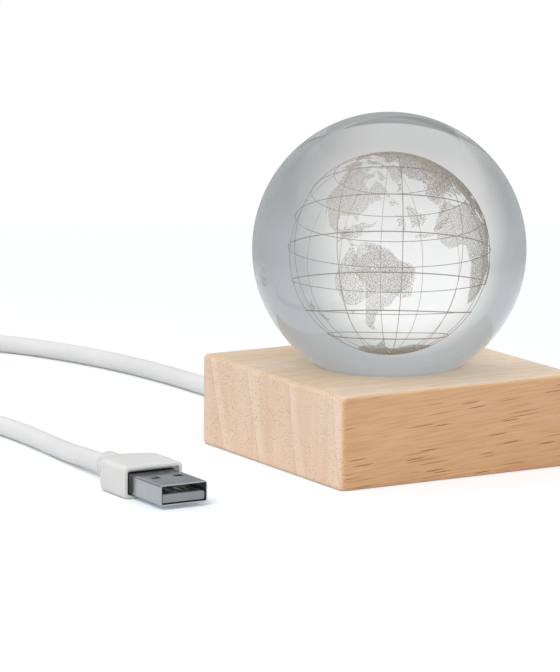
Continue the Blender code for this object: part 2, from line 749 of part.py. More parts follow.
def make_cover(plastic):
    """Plate in the rebate, with countersunk holes."""
    outline = rounded_outline(COVER_SIDE, COVER_SIDE, COVER_CORNER_RADIUS)
    cover = add_object("bottom_cover", slab_mesh("bottom_cover", outline, COVER_BOTTOM, COVER_TOP), plastic)
    slope = (COVER_SCREW_HEAD_RADIUS - COVER_SCREW_RADIUS) / COVER_SCREW_HEAD_HEIGHT
    neck = COVER_SCREW_RADIUS + TOUCH_GAP
    mouth = COVER_SCREW_HEAD_RADIUS + TOUCH_GAP
    hole = turned_mesh("cover_hole", [
        (0.0, COVER_BOTTOM - CUT_OVERRUN),
        (mouth + slope * CUT_OVERRUN, COVER_BOTTOM - CUT_OVERRUN),
        (neck, COVER_BOTTOM + COVER_SCREW_HEAD_HEIGHT),
        (neck, COVER_TOP + CUT_OVERRUN),
        (0.0, COVER_TOP + CUT_OVERRUN),
    ], SMALL_SEGMENTS)
    cut_at(cover, "cut_cover_holes", hole, cover_screw_places())
    return cover


def make_pad(foam):
    """Foam pad on the cover, flush with the underside of the wood."""
    outline = rounded_outline(PAD_SIDE, PAD_SIDE, PAD_CORNER_RADIUS)
    return add_object("anti_slip_pad", slab_mesh("anti_slip_pad", outline, 0.0, PAD_THICKNESS), foam)


# Tubes

def smooth_route(anchors, start_run, end_run):
    """Read evenly spaced points from a smooth curve through the anchors.

    The first and last stretch, start_run and end_run, stay straight.
    """
    def tangent(i):
        if i <= 1:
            return (anchors[1] - anchors[0]).normalized()
        if i >= len(anchors) - 2:
            return (anchors[-1] - anchors[-2]).normalized()
        return (anchors[i + 1] - anchors[i - 1]).normalized()

    fine = [anchors[0], anchors[1]]
    for i in range(1, len(anchors) - 2):
        start, end = anchors[i], anchors[i + 1]
        reach = (end - start).length
        for step in range(1, ROUTE_STEPS + 1):
            t = step / ROUTE_STEPS
            fine.append(
                start * (2 * t**3 - 3 * t**2 + 1) + tangent(i) * reach * (t**3 - 2 * t**2 + t)
                + end * (3 * t**2 - 2 * t**3) + tangent(i + 1) * reach * (t**3 - t**2))
    fine.append(anchors[-1])
    lengths = [0.0]
    for a, b in zip(fine, fine[1:]):
        lengths.append(lengths[-1] + (b - a).length)
    first, last = start_run, lengths[-1] - end_run
    count = max(2, round((last - first) / CORD_POINT_SPACING))
    marks = [0.0] + [first + (last - first) * k / count for k in range(count + 1)] + [lengths[-1]]
    points, i = [], 0
    for mark in marks:
        while i < len(fine) - 2 and lengths[i + 1] < mark:
            i += 1
        share = (mark - lengths[i]) / (lengths[i + 1] - lengths[i])
        points.append(fine[i].lerp(fine[i + 1], share))
    return points


def make_tube(name, points, radius, bevel_resolution, material):
    """A round tube with closed ends along a line of points."""
    curve = bpy.data.curves.new(name, "CURVE")
    curve.dimensions = "3D"
    curve.bevel_depth = radius
    curve.bevel_resolution = bevel_resolution
    curve.use_fill_caps = True
    spline = curve.splines.new("POLY")
    spline.points.add(len(points) - 1)
    for target, point in zip(spline.points, points):
        target.co = (*point, 1.0)
    spline.use_smooth = True
    curve.materials.append(material)
    tube = bpy.data.objects.new(name, curve)
    bpy.context.collection.objects.link(tube)
    return tube


def route_length(points):
    """Length along a line of points."""
    return sum((b - a).length for a, b in zip(points, points[1:]))


def coil_point(turn):
    """Centre of the lead after so many turns: spiral in below, climb, spiral out above."""
    middle = COIL_TURNS / 2
    radius = COIL_OUTER_RADIUS - COIL_PITCH * (middle - abs(turn - middle))
    angle = COIL_START_ANGLE + turn * 2 * math.pi
    climb = min(1.0, max(0.0, (turn - middle) / COIL_CLIMB_TURNS + 0.5))
    layer = climb * climb * (3 - 2 * climb)
    away = (angle - COIL_TIE_ANGLE + math.pi) % (2 * math.pi) - math.pi
    near = max(0.0, 1 - abs(away) / COIL_TIE_LIFT_ANGLE)
    lift = (COIL_TIE_THICKNESS + COIL_TIE_CLEARANCE) * near * near * (3 - 2 * near)
    height = CORD_REST_HEIGHT + layer * COIL_PITCH + lift
    return Vector((COIL_X + radius * math.cos(angle), COIL_Y + radius * math.sin(angle), height))


def coil_end_run(turn, direction):
    """The end of the straight run that leads into or out of the coil."""
    angle = COIL_START_ANGLE + turn * 2 * math.pi
    heading = Vector((-math.sin(angle), math.cos(angle), 0.0))
    return coil_point(turn) + heading * direction * 2 * CORD_RADIUS


def coil_points():
    """All points of the coil, with a straight run one lead across at both ends."""
    steps = round(COIL_TURNS * COIL_POINTS_PER_TURN)
    turns = [coil_point(k * COIL_TURNS / steps) for k in range(steps + 1)]
    return [coil_end_run(0.0, -1)] + turns + [coil_end_run(COIL_TURNS, 1)]


def print_coil_gap():
    """Measure and print the least gap of the coil to itself."""
    steps = round(COIL_TURNS * COIL_POINTS_PER_TURN)
    points = [coil_point(k * COIL_TURNS / steps) for k in range(steps + 1)]
    least = min((a - b).length for i, a in enumerate(points)
                for b in points[i + COIL_POINTS_PER_TURN // 2:])
    print("least gap of the coil to itself, mm:", round((least - 2 * CORD_RADIUS) * MM_PER_METRE, 3))


def make_cord(white):
    """The lead: inside the base, out to the coil, the coil, and on to the plug."""
    inside = [Vector((0.0, CORD_INNER_END, CORD_HEIGHT)), Vector((0.0, EXIT_Y - TOUCH_GAP, CORD_HEIGHT))]
    make_tube("cord_inside", inside, CORD_RADIUS, CORD_BEVEL_STEPS, white)

    run = 2 * CORD_RADIUS
    exit_point = Vector((0.0, EXIT_Y, CORD_HEIGHT))
    coil_in = coil_end_run(0.0, -1)
    gap_in = Vector((1.0, 0.0, 0.0)) * TOUCH_GAP
    anchors = [exit_point, exit_point + Vector((0.0, run, 0.0))]
    anchors += [Vector((x, y, CORD_REST_HEIGHT + lift)) for x, y, lift in ROUTE_OUT]
    anchors += [coil_in + gap_in + Vector((run, 0.0, 0.0)), coil_in + gap_in]
    out = smooth_route(anchors, run, run)
    make_tube("cord_from_base", out, CORD_RADIUS, CORD_BEVEL_STEPS, white)

    coil = coil_points()
    make_tube("cord_coil", coil, CORD_RADIUS, COIL_BEVEL_STEPS, white)
    print_coil_gap()

    coil_out = coil_end_run(COIL_TURNS, 1)
    gap_out = Vector((0.0, -1.0, 0.0)) * TOUCH_GAP
    plug_end = Vector((PLUG_X, NECK_BORE_FLOOR_Y + TOUCH_GAP, PLUG_AXIS_HEIGHT))
    anchors = [coil_out + gap_out, coil_out + gap_out + Vector((0.0, -run, 0.0))]
    anchors += [Vector((x, y, CORD_REST_HEIGHT + lift)) for x, y, lift in ROUTE_BACK]
    anchors += [plug_end + Vector((0.0, run, 0.0)), plug_end]
    back = smooth_route(anchors, run, run)
    make_tube("cord_to_plug", back, CORD_RADIUS, CORD_BEVEL_STEPS, white)

    total = route_length(out) + route_length(coil) + route_length(back)
    print("free lead, mm:", round(total * MM_PER_METRE, 1))


def make_leads(red, black):
    """Two wires from the end of the jacket up to the board."""
    run = 2 * LEAD_RADIUS
    for name, side, material in (("lead_red", -1, red), ("lead_black", 1, black)):
        start = Vector((side * LEAD_SPREAD, CORD_INNER_END - TOUCH_GAP, CORD_HEIGHT - LEAD_DROP))
        end = Vector((side * PAD_SPREAD, PAD_BACK, BOARD_BOTTOM - TOUCH_GAP))
        first = start + Vector((0.0, -run, 0.0))
        last = end + Vector((0.0, 0.0, -run / 2))
        points = [start, first]
        for step in range(1, LEAD_STEPS):
            t = step / LEAD_STEPS
            reach = (last - first).length
            points.append(
                first * (2 * t**3 - 3 * t**2 + 1) + Vector((0.0, -1.0, 0.0)) * reach * (t**3 - 2 * t**2 + t)
                + last * (3 * t**2 - 2 * t**3) + Vector((0.0, 0.0, 1.0)) * reach * (t**3 - t**2))
        points += [last, end]
        make_tube(name, points, LEAD_RADIUS, LEAD_BEVEL_STEPS, material)


# Fittings on the lead

def make_grommet(rubber):
    """Bush in the rear hole: inner sleeve, flange and tapered outer sleeve."""
    inner = POCKET_SIDE / 2 - GROMMET_FACE
    flange = GROMMET_FLANGE_THICKNESS
    tip = flange + GROMMET_SLEEVE_LENGTH
    tip_radius = GROMMET_BORE + GROMMET_TIP_WALL
    sleeve_radius = GROMMET_RADIUS
    profile = [
        (GROMMET_BORE, inner),
        (GROMMET_RADIUS, inner),
        (GROMMET_RADIUS, 0.0),
        (GROMMET_FLANGE_RADIUS, 0.0),
        (GROMMET_FLANGE_RADIUS, flange - GROMMET_TIP_ROUND),
        (GROMMET_FLANGE_RADIUS - GROMMET_TIP_ROUND, flange),
        (sleeve_radius, flange),
        (tip_radius, tip - GROMMET_TIP_ROUND),
        (tip_radius - GROMMET_TIP_ROUND, tip),
        (GROMMET_BORE, tip),
    ]
    mesh = turned_mesh("cable_grommet", profile, MIDDLE_SEGMENTS, ring=True)
    return along_y(add_object("cable_grommet", mesh, rubber), 0.0, GROMMET_FACE, CORD_HEIGHT)


def make_cable_tie(nylon):
    """Nylon tie pulled tight round the lead, just inside the rear wall."""
    inner = CORD_RADIUS + TOUCH_GAP
    profile = [
        (inner, 0.0),
        (CABLE_TIE_RADIUS, 0.0),
        (CABLE_TIE_RADIUS, CABLE_TIE_WIDTH),
        (inner, CABLE_TIE_WIDTH),
    ]
    mesh = turned_mesh("cable_tie", profile, MIDDLE_SEGMENTS, ring=True)
    place = POCKET_SIDE / 2 - TOUCH_GAP - CABLE_TIE_WIDTH
    tie = along_y(add_object("cable_tie", mesh, nylon), 0.0, place, CORD_HEIGHT)
    corner = CABLE_TIE_THICKNESS / 2
    head = rounded_outline(CABLE_TIE_HEAD_SIDE, CABLE_TIE_HEAD_SIDE, corner, SMALL_CORNER_STEPS)
    block = slab_mesh("join_tie_head", head, CABLE_TIE_HEAD_INSET, CABLE_TIE_WIDTH - CABLE_TIE_HEAD_INSET)
    side = inner + corner + CABLE_TIE_HEAD_SIDE / 2
    block_guide = cutter("join_tie_head", block)
    along_y(block_guide, side, place, CORD_HEIGHT)
    combine(tie, block_guide, "UNION")
    return tie


def make_coil_tie(strap):
    """Strap round the turns of the coil, doubled over on top."""
    bundle = COIL_PITCH + 2 * CORD_RADIUS + 2 * COIL_TIE_CLEARANCE
    inner = rounded_outline(bundle, bundle, COIL_TIE_CORNER)
    outer_side = bundle + 2 * COIL_TIE_THICKNESS
    outer = rounded_outline(outer_side, outer_side, COIL_TIE_CORNER + COIL_TIE_THICKNESS)
    outer = [(x, y + COIL_TIE_THICKNESS if y > 0 else y) for x, y in outer]
    half = COIL_TIE_WIDTH / 2
    shape = bmesh.new()
    rows = []
    for ring, place in ((inner, -half), (outer, -half), (outer, half), (inner, half)):
        rows.append([shape.verts.new((x, place, z)) for x, z in ring])
    count = len(inner)
    for row, following in zip(rows, rows[1:] + rows[:1]):
        for i in range(count):
            j = (i + 1) % count
            shape.faces.new((row[i], row[j], following[j], following[i]))
    tie = add_object("coil_tie", finish_mesh("coil_tie", shape), strap)
    middle_turns = ((COIL_TIE_ANGLE - COIL_START_ANGLE) / (2 * math.pi)) % 1 + 0.5
    radius = COIL_OUTER_RADIUS - COIL_PITCH * middle_turns
    centre = Vector((
        COIL_X + radius * math.cos(COIL_TIE_ANGLE),
        COIL_Y + radius * math.sin(COIL_TIE_ANGLE),
        COIL_TIE_THICKNESS + bundle / 2))
    tie.matrix_world = Matrix.Translation(centre) @ Matrix.Rotation(COIL_TIE_ANGLE, 4, "Z")
    return tie


# USB plug. Each piece is made along Z from its front, then laid along Y.

def plug_piece(name, mesh, front_y, material):
    """Lay a piece of the plug on the plug's axis, its front at front_y."""
    return along_y(add_object(name, mesh, material), PLUG_X, front_y, PLUG_AXIS_HEIGHT)


def plug_cutter(name, mesh, front_y, x=0.0, up=0.0):
    """Lay a cutter on the plug's axis."""
    return along_y(cutter(name, mesh), PLUG_X + x, front_y, PLUG_AXIS_HEIGHT + up)


def top_facet_mesh():
    """Wedge above the shoulder: a flat facet that falls from the block's top towards the neck."""
    top = OVERMOULD_HEIGHT - PLUG_AXIS_HEIGHT
    slope = (top - NECK_RADIUS) / OVERMOULD_SHOULDER
    start = OVERMOULD_STRAIGHT - CUT_OVERRUN
    end = OVERMOULD_STRAIGHT + OVERMOULD_SHOULDER * TOP_FACET_SHARE
    corners = [
        (top + CUT_OVERRUN * slope, start),
        (top + 2 * CUT_OVERRUN, start),
        (top + 2 * CUT_OVERRUN, end),
        (top - (end - OVERMOULD_STRAIGHT) * slope, end),
    ]
    half = OVERMOULD_WIDTH / 2
    rings = [[(x, -height, place) for height, place in corners] for x in (-half, half)]
    return lofted_mesh("cut_top_facet", rings)


def make_overmould(plastic):
    """Moulded body: rounded block, shoulders that draw in to a round neck, two ring grooves.

    The block is thicker above the plug's axis than below; the neck is round the axis.
    """
    rings = []

    def add_ring(place, width, height, radius, lift=0.0):
        rings.append([(x, y - lift, place) for x, y in rounded_outline(width, height, radius)])

    for step in range(EDGE_STEPS + 1):
        angle = step / EDGE_STEPS * math.pi / 2
        inset = 2 * OVERMOULD_EDGE * (1 - math.sin(angle))
        add_ring(OVERMOULD_EDGE * (1 - math.cos(angle)), OVERMOULD_WIDTH - inset, OVERMOULD_HEIGHT - inset,
                 OVERMOULD_CORNER, BODY_LIFT)
    neck = 2 * NECK_RADIUS
    for step in range(SHOULDER_STEPS + 1):
        t = step / SHOULDER_STEPS
        ease = (1 - math.cos(math.pi * t)) / 2
        width = OVERMOULD_WIDTH + (neck - OVERMOULD_WIDTH) * ease
        height = OVERMOULD_HEIGHT + (neck - OVERMOULD_HEIGHT) * ease
        radius = OVERMOULD_CORNER + (NECK_RADIUS - OVERMOULD_CORNER) * ease**2
        add_ring(OVERMOULD_STRAIGHT + OVERMOULD_SHOULDER * t, width, height, min(radius, height / 2),
                 BODY_LIFT * (1 - ease))
    start = OVERMOULD_STRAIGHT + OVERMOULD_SHOULDER
    cell = NECK_LENGTH / (2 * NECK_GROOVES + 1)
    low = neck - 2 * NECK_GROOVE_DEPTH
    bevel = NECK_GROOVE_DEPTH / 2
    for groove in range(NECK_GROOVES):
        place = start + cell * (2 * groove + 1)
        add_ring(place - bevel, neck, neck, NECK_RADIUS)
        add_ring(place, low, low, low / 2)
        add_ring(place + cell - bevel, low, low, low / 2)
        add_ring(place + cell, neck, neck, NECK_RADIUS)
    add_ring(start + NECK_LENGTH - bevel, neck, neck, NECK_RADIUS)
    add_ring(start + NECK_LENGTH, low, low, low / 2)
    body = plug_piece("usb_overmould", lofted_mesh("usb_overmould", rings), OVERMOULD_FRONT_Y, plastic)
    combine(body, plug_cutter("cut_top_facet", top_facet_mesh(), OVERMOULD_FRONT_Y))

    recess_height = OVERMOULD_HEIGHT - 2 * FRONT_RIM
    recess = rounded_outline(OVERMOULD_WIDTH - 2 * FRONT_RIM, recess_height, SHELL_CORNER_RADIUS)
    recess_mesh = slab_mesh("cut_front_recess", recess, -CUT_OVERRUN, FRONT_RECESS_DEPTH)
    combine(body, plug_cutter("cut_front_recess", recess_mesh, OVERMOULD_FRONT_Y, up=BODY_LIFT))

    slot_width = SHELL_WIDTH + 2 * TOUCH_GAP
    slot_height = SHELL_HEIGHT + 2 * TOUCH_GAP
    slot = rounded_outline(slot_width, slot_height, SHELL_CORNER_RADIUS + TOUCH_GAP)
    slot_mesh = slab_mesh("cut_shell_slot", slot, -CUT_OVERRUN, SHELL_HIDDEN + TOUCH_GAP)
    combine(body, plug_cutter("cut_shell_slot", slot_mesh, OVERMOULD_FRONT_Y))
    bore = turned_mesh("cut_neck_bore", rod_profile(
        GROMMET_BORE, 0.0, NECK_BORE_DEPTH + CUT_OVERRUN), MIDDLE_SEGMENTS)
    combine(body, plug_cutter("cut_neck_bore", bore, NECK_BORE_FLOOR_Y))
    return body


def make_shell(steel):
    """Folded steel shell, open in front, with latch windows, press marks above and a seam below."""
    length = SHELL_EXPOSED + SHELL_HIDDEN
    outline = rounded_outline(SHELL_WIDTH, SHELL_HEIGHT, SHELL_CORNER_RADIUS)
    shell = plug_piece("usb_shell", slab_mesh("usb_shell", outline, 0.0, length), PLUG_TIP_Y, steel)
    inside = rounded_outline(SHELL_WIDTH - 2 * SHELL_WALL, SHELL_HEIGHT - 2 * SHELL_WALL,
                             SHELL_CORNER_RADIUS - SHELL_WALL)
    hollow = slab_mesh("cut_shell_inside", inside, -CUT_OVERRUN, length + CUT_OVERRUN)
    combine(shell, plug_cutter("cut_shell_inside", hollow, PLUG_TIP_Y))
    window = rounded_outline(WINDOW_WIDTH, SHELL_HEIGHT + 2 * CUT_OVERRUN, SHELL_WALL)
    for side in (-1, 1):
        name = "cut_window_left" if side < 0 else "cut_window_right"
        mesh = slab_mesh(name, window, 0.0, WINDOW_LENGTH)
        combine(shell, plug_cutter(name, mesh, PLUG_TIP_Y + WINDOW_FROM_TIP - WINDOW_LENGTH / 2,
                                   side * WINDOW_SPREAD))
    seam = rounded_outline(SEAM_WIDTH, 2 * MARK_DEPTH, SEAM_WIDTH / 4, TINY_CORNER_STEPS)
    seam_mesh = slab_mesh("cut_seam", seam, -CUT_OVERRUN, length + CUT_OVERRUN)
    combine(shell, plug_cutter("cut_seam", seam_mesh, PLUG_TIP_Y, up=-SHELL_HEIGHT / 2))
    cut_press_marks(shell)
    return shell


def cut_press_marks(shell):
    """A short tab mark and a round dimple pressed into the top, close to the moulded body."""
    top = PLUG_AXIS_HEIGHT + SHELL_HEIGHT / 2
    tab = rounded_outline(TAB_MARK_LENGTH, TAB_MARK_WIDTH, TAB_MARK_WIDTH / 4, SMALL_CORNER_STEPS)
    tab_mark = cutter("cut_tab_mark", slab_mesh("cut_tab_mark", tab, -MARK_DEPTH, CUT_OVERRUN))
    tab_mark.location = (PLUG_X, OVERMOULD_FRONT_Y - TAB_MARK_FROM_BODY, top)
    combine(shell, tab_mark)
    mouth = DIMPLE_RADIUS * (1 + CUT_OVERRUN / MARK_DEPTH)
    cone = [(0.0, -MARK_DEPTH), (mouth, CUT_OVERRUN), (0.0, CUT_OVERRUN)]
    dimple = cutter("cut_dimple", turned_mesh("cut_dimple", cone, SMALL_SEGMENTS))
    dimple.location = (PLUG_X + DIMPLE_OFFSET, OVERMOULD_FRONT_Y - DIMPLE_FROM_BODY, top)
    combine(shell, dimple)


def make_tongue(plastic):
    """Plastic tongue on the floor of the shell, with four grooves for the contacts."""
    width = SHELL_WIDTH - 2 * SHELL_WALL - 2 * TOUCH_GAP
    length = SHELL_EXPOSED + SHELL_HIDDEN - TONGUE_SETBACK
    outline = rounded_outline(width, TONGUE_HEIGHT, SHELL_CORNER_RADIUS - SHELL_WALL, SMALL_CORNER_STEPS)
    drop = SHELL_HEIGHT / 2 - SHELL_WALL - TOUCH_GAP - TONGUE_HEIGHT / 2
    tongue = plug_piece("usb_tongue", slab_mesh("usb_tongue", outline, 0.0, length),
                        PLUG_TIP_Y + TONGUE_SETBACK, plastic)
    tongue.location.z -= drop
    groove_depth = CONTACT_THICKNESS + TOUCH_GAP
    groove_width = CONTACT_WIDTH + 2 * TOUCH_GAP
    groove = rounded_outline(groove_width, 2 * groove_depth, TOUCH_GAP / 2, TINY_CORNER_STEPS)
    top = PLUG_AXIS_HEIGHT - drop + TONGUE_HEIGHT / 2
    for number, offset in enumerate(contact_offsets()):
        name = "cut_groove_" + str(number)
        mesh = slab_mesh(name, groove, CONTACT_SETBACK - TOUCH_GAP, length + CUT_OVERRUN)
        combine(tongue, plug_cutter(name, mesh, PLUG_TIP_Y + TONGUE_SETBACK, offset, top - PLUG_AXIS_HEIGHT))
    return tongue


def contact_offsets():
    """Places of the four contacts across the plug."""
    return (-CONTACT_OUTER_OFFSET, -CONTACT_INNER_OFFSET, CONTACT_INNER_OFFSET, CONTACT_OUTER_OFFSET)


def make_contacts(gold):
    """Four flat strips, each lying in its groove, flush with the tongue."""
    length = SHELL_EXPOSED + SHELL_HIDDEN - TONGUE_SETBACK - CONTACT_SETBACK
    outline = rounded_outline(CONTACT_WIDTH, CONTACT_THICKNESS, CONTACT_THICKNESS / 4, TINY_CORNER_STEPS)
    strip = slab_mesh("usb_contact", outline, CONTACT_SETBACK, CONTACT_SETBACK + length)
    drop = SHELL_HEIGHT / 2 - SHELL_WALL - TOUCH_GAP - TONGUE_HEIGHT
    height = PLUG_AXIS_HEIGHT - drop - CONTACT_THICKNESS / 2
    contacts = copies("usb_contact", strip, [(offset, 0.0) for offset in contact_offsets()], gold)
    for contact, offset in zip(contacts, contact_offsets()):
        along_y(contact, PLUG_X + offset, PLUG_TIP_Y + TONGUE_SETBACK, height)
    return contacts


def build():
    """Clear the scene and make every piece."""
    for thing in list(bpy.data.objects):
        bpy.data.objects.remove(thing, do_unlink=True)
    glass = paint("glass", (0.86, 0.89, 0.91), 0.02)
    wood = paint("rubberwood", (0.72, 0.50, 0.31), 0.55)
    frosted = paint("frosted_acrylic", (0.88, 0.88, 0.86), 0.6)
    white = paint("white_pvc", (0.80, 0.81, 0.80), 0.45)
    white_abs = paint("white_abs", (0.84, 0.84, 0.82), 0.4)
    board_white = paint("board_white", (0.75, 0.76, 0.74), 0.4)
    chip_yellow = paint("led_phosphor", (0.85, 0.74, 0.30), 0.4)
    ceramic = paint("resistor_black", (0.03, 0.03, 0.03), 0.5)
    red = paint("red_pvc", (0.60, 0.03, 0.03), 0.45)
    black = paint("black_pvc", (0.02, 0.02, 0.02), 0.45)
    nylon = paint("nylon", (0.80, 0.79, 0.74), 0.5)
    dark_abs = paint("black_abs", (0.03, 0.03, 0.03), 0.5)
    foam = paint("eva_foam", (0.05, 0.05, 0.05), 0.9)
    zinc = paint("zinc_plated_steel", (0.62, 0.62, 0.60), 0.35, 1.0)
    nickel = paint("nickel_plated_steel", (0.55, 0.56, 0.57), 0.25, 1.0)
    gold = paint("gold_plate", (0.85, 0.62, 0.25), 0.25, 1.0)
    strap = paint("hook_and_loop", (0.78, 0.78, 0.76), 0.9)
    grey = paint("grey_abs", (0.30, 0.31, 0.32), 0.5)

    make_base(wood)
    make_ball(glass)
    make_diffuser(frosted)
    make_reflector(white_abs)
    make_board(board_white)
    make_chips(chip_yellow)
    make_resistors(ceramic)
    make_board_screws(zinc)
    make_cover(dark_abs)
    make_cover_screws(zinc)
    make_pad(foam)
    make_leads(red, black)
    make_grommet(white)
    make_cable_tie(nylon)
    make_cord(white)
    make_coil_tie(strap)
    make_overmould(white_abs)
    make_shell(nickel)
    make_tongue(grey)
    make_contacts(gold)


build()
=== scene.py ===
# %% [markdown]
# # A crystal ball lamp
#
# The lamp is a solid glass ball with a globe engraved inside it. The ball rests in the seat of a
# square block of rubberwood, and a white lead runs from the back of the block to a flat plug.
# The frame that is loaded first holds every piece at its real size and place, in metres, with +Z up.
# The lesson dresses those pieces: it replaces the ones that need a finer surface and gives each
# surface a finish that is worked out from the real material.

# %% Load the frame
import math

import bmesh
import bpy
import numpy as np
from mathutils import Matrix, Vector


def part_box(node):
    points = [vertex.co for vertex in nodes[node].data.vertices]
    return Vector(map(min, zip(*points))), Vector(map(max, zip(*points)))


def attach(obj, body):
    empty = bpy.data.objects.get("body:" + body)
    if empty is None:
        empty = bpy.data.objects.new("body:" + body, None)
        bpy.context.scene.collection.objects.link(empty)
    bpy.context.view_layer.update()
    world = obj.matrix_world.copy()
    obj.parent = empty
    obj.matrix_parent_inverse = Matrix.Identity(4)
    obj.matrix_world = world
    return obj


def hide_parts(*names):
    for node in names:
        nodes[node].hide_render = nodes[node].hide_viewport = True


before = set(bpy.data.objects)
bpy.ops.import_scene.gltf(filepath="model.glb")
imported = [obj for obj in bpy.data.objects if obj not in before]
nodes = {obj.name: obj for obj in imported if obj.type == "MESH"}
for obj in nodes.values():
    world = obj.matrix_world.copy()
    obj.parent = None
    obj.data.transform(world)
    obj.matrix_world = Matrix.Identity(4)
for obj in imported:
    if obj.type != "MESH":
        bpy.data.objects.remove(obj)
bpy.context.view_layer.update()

MM = 0.001

scene = bpy.context.scene
scene.view_settings.view_transform = "Standard"
if "Cube" in bpy.data.objects:
    bpy.data.objects.remove(bpy.data.objects["Cube"])


# %% [markdown]
# ## The camera
#
# A catalogue photograph of a small thing is taken from far away with a long lens, so that upright
# edges stay parallel. The camera here stands about a metre from the lamp, a little above it and to
# its left. Its heading, its height above the horizon and its roll are easier to read than a matrix,
# so the matrix is made from them.

# %% Camera
CAMERA_PLACE = Vector((-551.45, -883.64, 211.88)) * MM
CAMERA_HEADING = math.radians(-30.551)
CAMERA_ELEVATION = math.radians(9.994)
CAMERA_ROLL = math.radians(0.394)
CAMERA_LENS_MM = 238.17
SENSOR_WIDTH_MM = 36.0
NEAREST_SEEN = 10 * MM
FARTHEST_SEEN = 100.0


def camera_axes():
    """The camera's right, up and back directions, from its heading, elevation and roll."""
    level = math.cos(CAMERA_ELEVATION)
    back = Vector((math.sin(CAMERA_HEADING) * level, -math.cos(CAMERA_HEADING) * level,
                   math.sin(CAMERA_ELEVATION)))
    side = (-back).cross(Vector((0, 0, 1))).normalized()
    top = side.cross(-back)
    right = math.cos(CAMERA_ROLL) * side + math.sin(CAMERA_ROLL) * top
    up = math.cos(CAMERA_ROLL) * top - math.sin(CAMERA_ROLL) * side
    return right, up, back


def make_camera():
    """A long lens on a small sensor, with no shift and no depth of field."""
    data = bpy.data.cameras.new("camera")
    data.lens = CAMERA_LENS_MM
    data.sensor_width = SENSOR_WIDTH_MM
    data.clip_start = NEAREST_SEEN
    data.clip_end = FARTHEST_SEEN
    camera = bpy.data.objects.new("camera", data)
    scene.collection.objects.link(camera)
    right, up, back = camera_axes()
    turn = Matrix((right, up, back)).transposed().to_4x4()
    camera.matrix_world = Matrix.Translation(CAMERA_PLACE) @ turn
    return camera


scene.camera = make_camera()
print("camera at", [round(x, 3) for x in scene.camera.location])


# %% [markdown]
# ## Small helpers
#
# Colours are written as hex values, as a designer would read them off a screen. The renderer
# works with linear light, so one function turns the one into the other. A second function adds
# one shader node with its settings and links, so that every material below reads as a list of
# what each node does. The others take up what several materials or pieces repeat.

# %% Colour and shader helpers
SRGB_KNEE = 0.04045


def linear(hex_colour):
    """A linear RGBA colour from an sRGB hex string such as "#8899AA"."""
    values = [int(hex_colour[i:i + 2], 16) / 255 for i in (1, 3, 5)]
    light = [v / 12.92 if v <= SRGB_KNEE else ((v + 0.055) / 1.055) ** 2.4 for v in values]
    return (*light, 1.0)


def new_material(name):
    """An empty node material and its output node."""
    material = bpy.data.materials.new(name)
    material.use_nodes = True
    material.node_tree.nodes.clear()
    output = material.node_tree.nodes.new("ShaderNodeOutputMaterial")
    return material, output


def add_node(tree, kind, settings=None, **inputs):
    """Add a node, set its properties, and set or link its inputs by name."""
    node = tree.nodes.new("ShaderNode" + kind)
    for name, value in (settings or {}).items():
        setattr(node, name, value)
    for name, value in inputs.items():
        key = int(name[1:]) if name[0] == "i" and name[1:].isdigit() else name.replace("_", " ")
        socket = node.inputs[key]
        if isinstance(value, bpy.types.NodeSocket):
            tree.links.new(value, socket)
        else:
            socket.default_value = value
    return node


def blend(tree, factor, first, second):
    """A mix of two colours, each a hex value or a socket."""
    first = linear(first) if isinstance(first, str) else first
    second = linear(second) if isinstance(second, str) else second
    return add_node(tree, "Mix", {"data_type": "RGBA"}, i0=factor, i6=first, i7=second).outputs[2]


def fold(tree, operation, *sockets):
    """One maths operation, such as MAXIMUM or MULTIPLY, over several values in turn."""
    first, *others = sockets
    for other in others:
        first = add_node(tree, "Math", {"operation": operation}, i0=first, i1=other).outputs[0]
    return first


def ramp_between(tree, value, low, high):
    """Zero below low, one above high, and smooth between."""
    return add_node(tree, "MapRange", {"interpolation_type": "SMOOTHSTEP"}, Value=value, From_Min=low,
                    From_Max=high).outputs[0]


def ramp_of(tree, value, stops):
    """A colour ramp with these stops, each a position and a linear colour."""
    ramp = add_node(tree, "ValToRGB", None, Fac=value)
    elements = ramp.color_ramp.elements
    while len(elements) < len(stops):
        elements.new(0.5)
    for element, (position, colour) in zip(elements, stops):
        element.position = position
        element.color = colour
    return ramp.outputs["Color"]


def link_mesh(name, shape, material, smooth=True):
    """Turn a bmesh into a linked object with one material."""
    mesh = bpy.data.meshes.new(name)
    shape.to_mesh(mesh)
    shape.free()
    if smooth:
        mesh.shade_smooth()
    mesh.materials.append(material)
    piece = bpy.data.objects.new(name, mesh)
    scene.collection.objects.link(piece)
    return piece


def dress(name, material):
    """Give a CAD node this material in its only slot."""
    slots = nodes[name].data.materials
    slots.clear()
    slots.append(material)


print("mid grey in linear light:", round(linear("#808080")[0], 3))


# %% [markdown]
# ## The lead
#
# A USB lead has a jacket of soft PVC, 4.6 mm across, extruded over four wires. It leaves the
# sleeve at the back of the base straight, sinks to the table within a few centimetres and then
# lies in loose curves. What isn't needed is wound into a small coil held by a strap. The coil
# spirals in below, climbs one layer and spirals out again, so no turn cuts through another.
# One Bezier curve carries the whole lead, because its handles keep every bend smooth between
# the listed points. A photographer would keep the lead and the plug from showing
# upside down in the ball, so rays that came through glass don't see them.

# %% Route of the lead
CORD_RADIUS = 2.3 * MM
CORD_REST_HEIGHT = CORD_RADIUS + 0.1 * MM
CORD_BEVEL_STEPS = 6
CORD_EXIT = Vector((0.0, 0.0413, 0.0073))
PLUG_END = Vector((-0.0726, 0.0031, 0.0034))

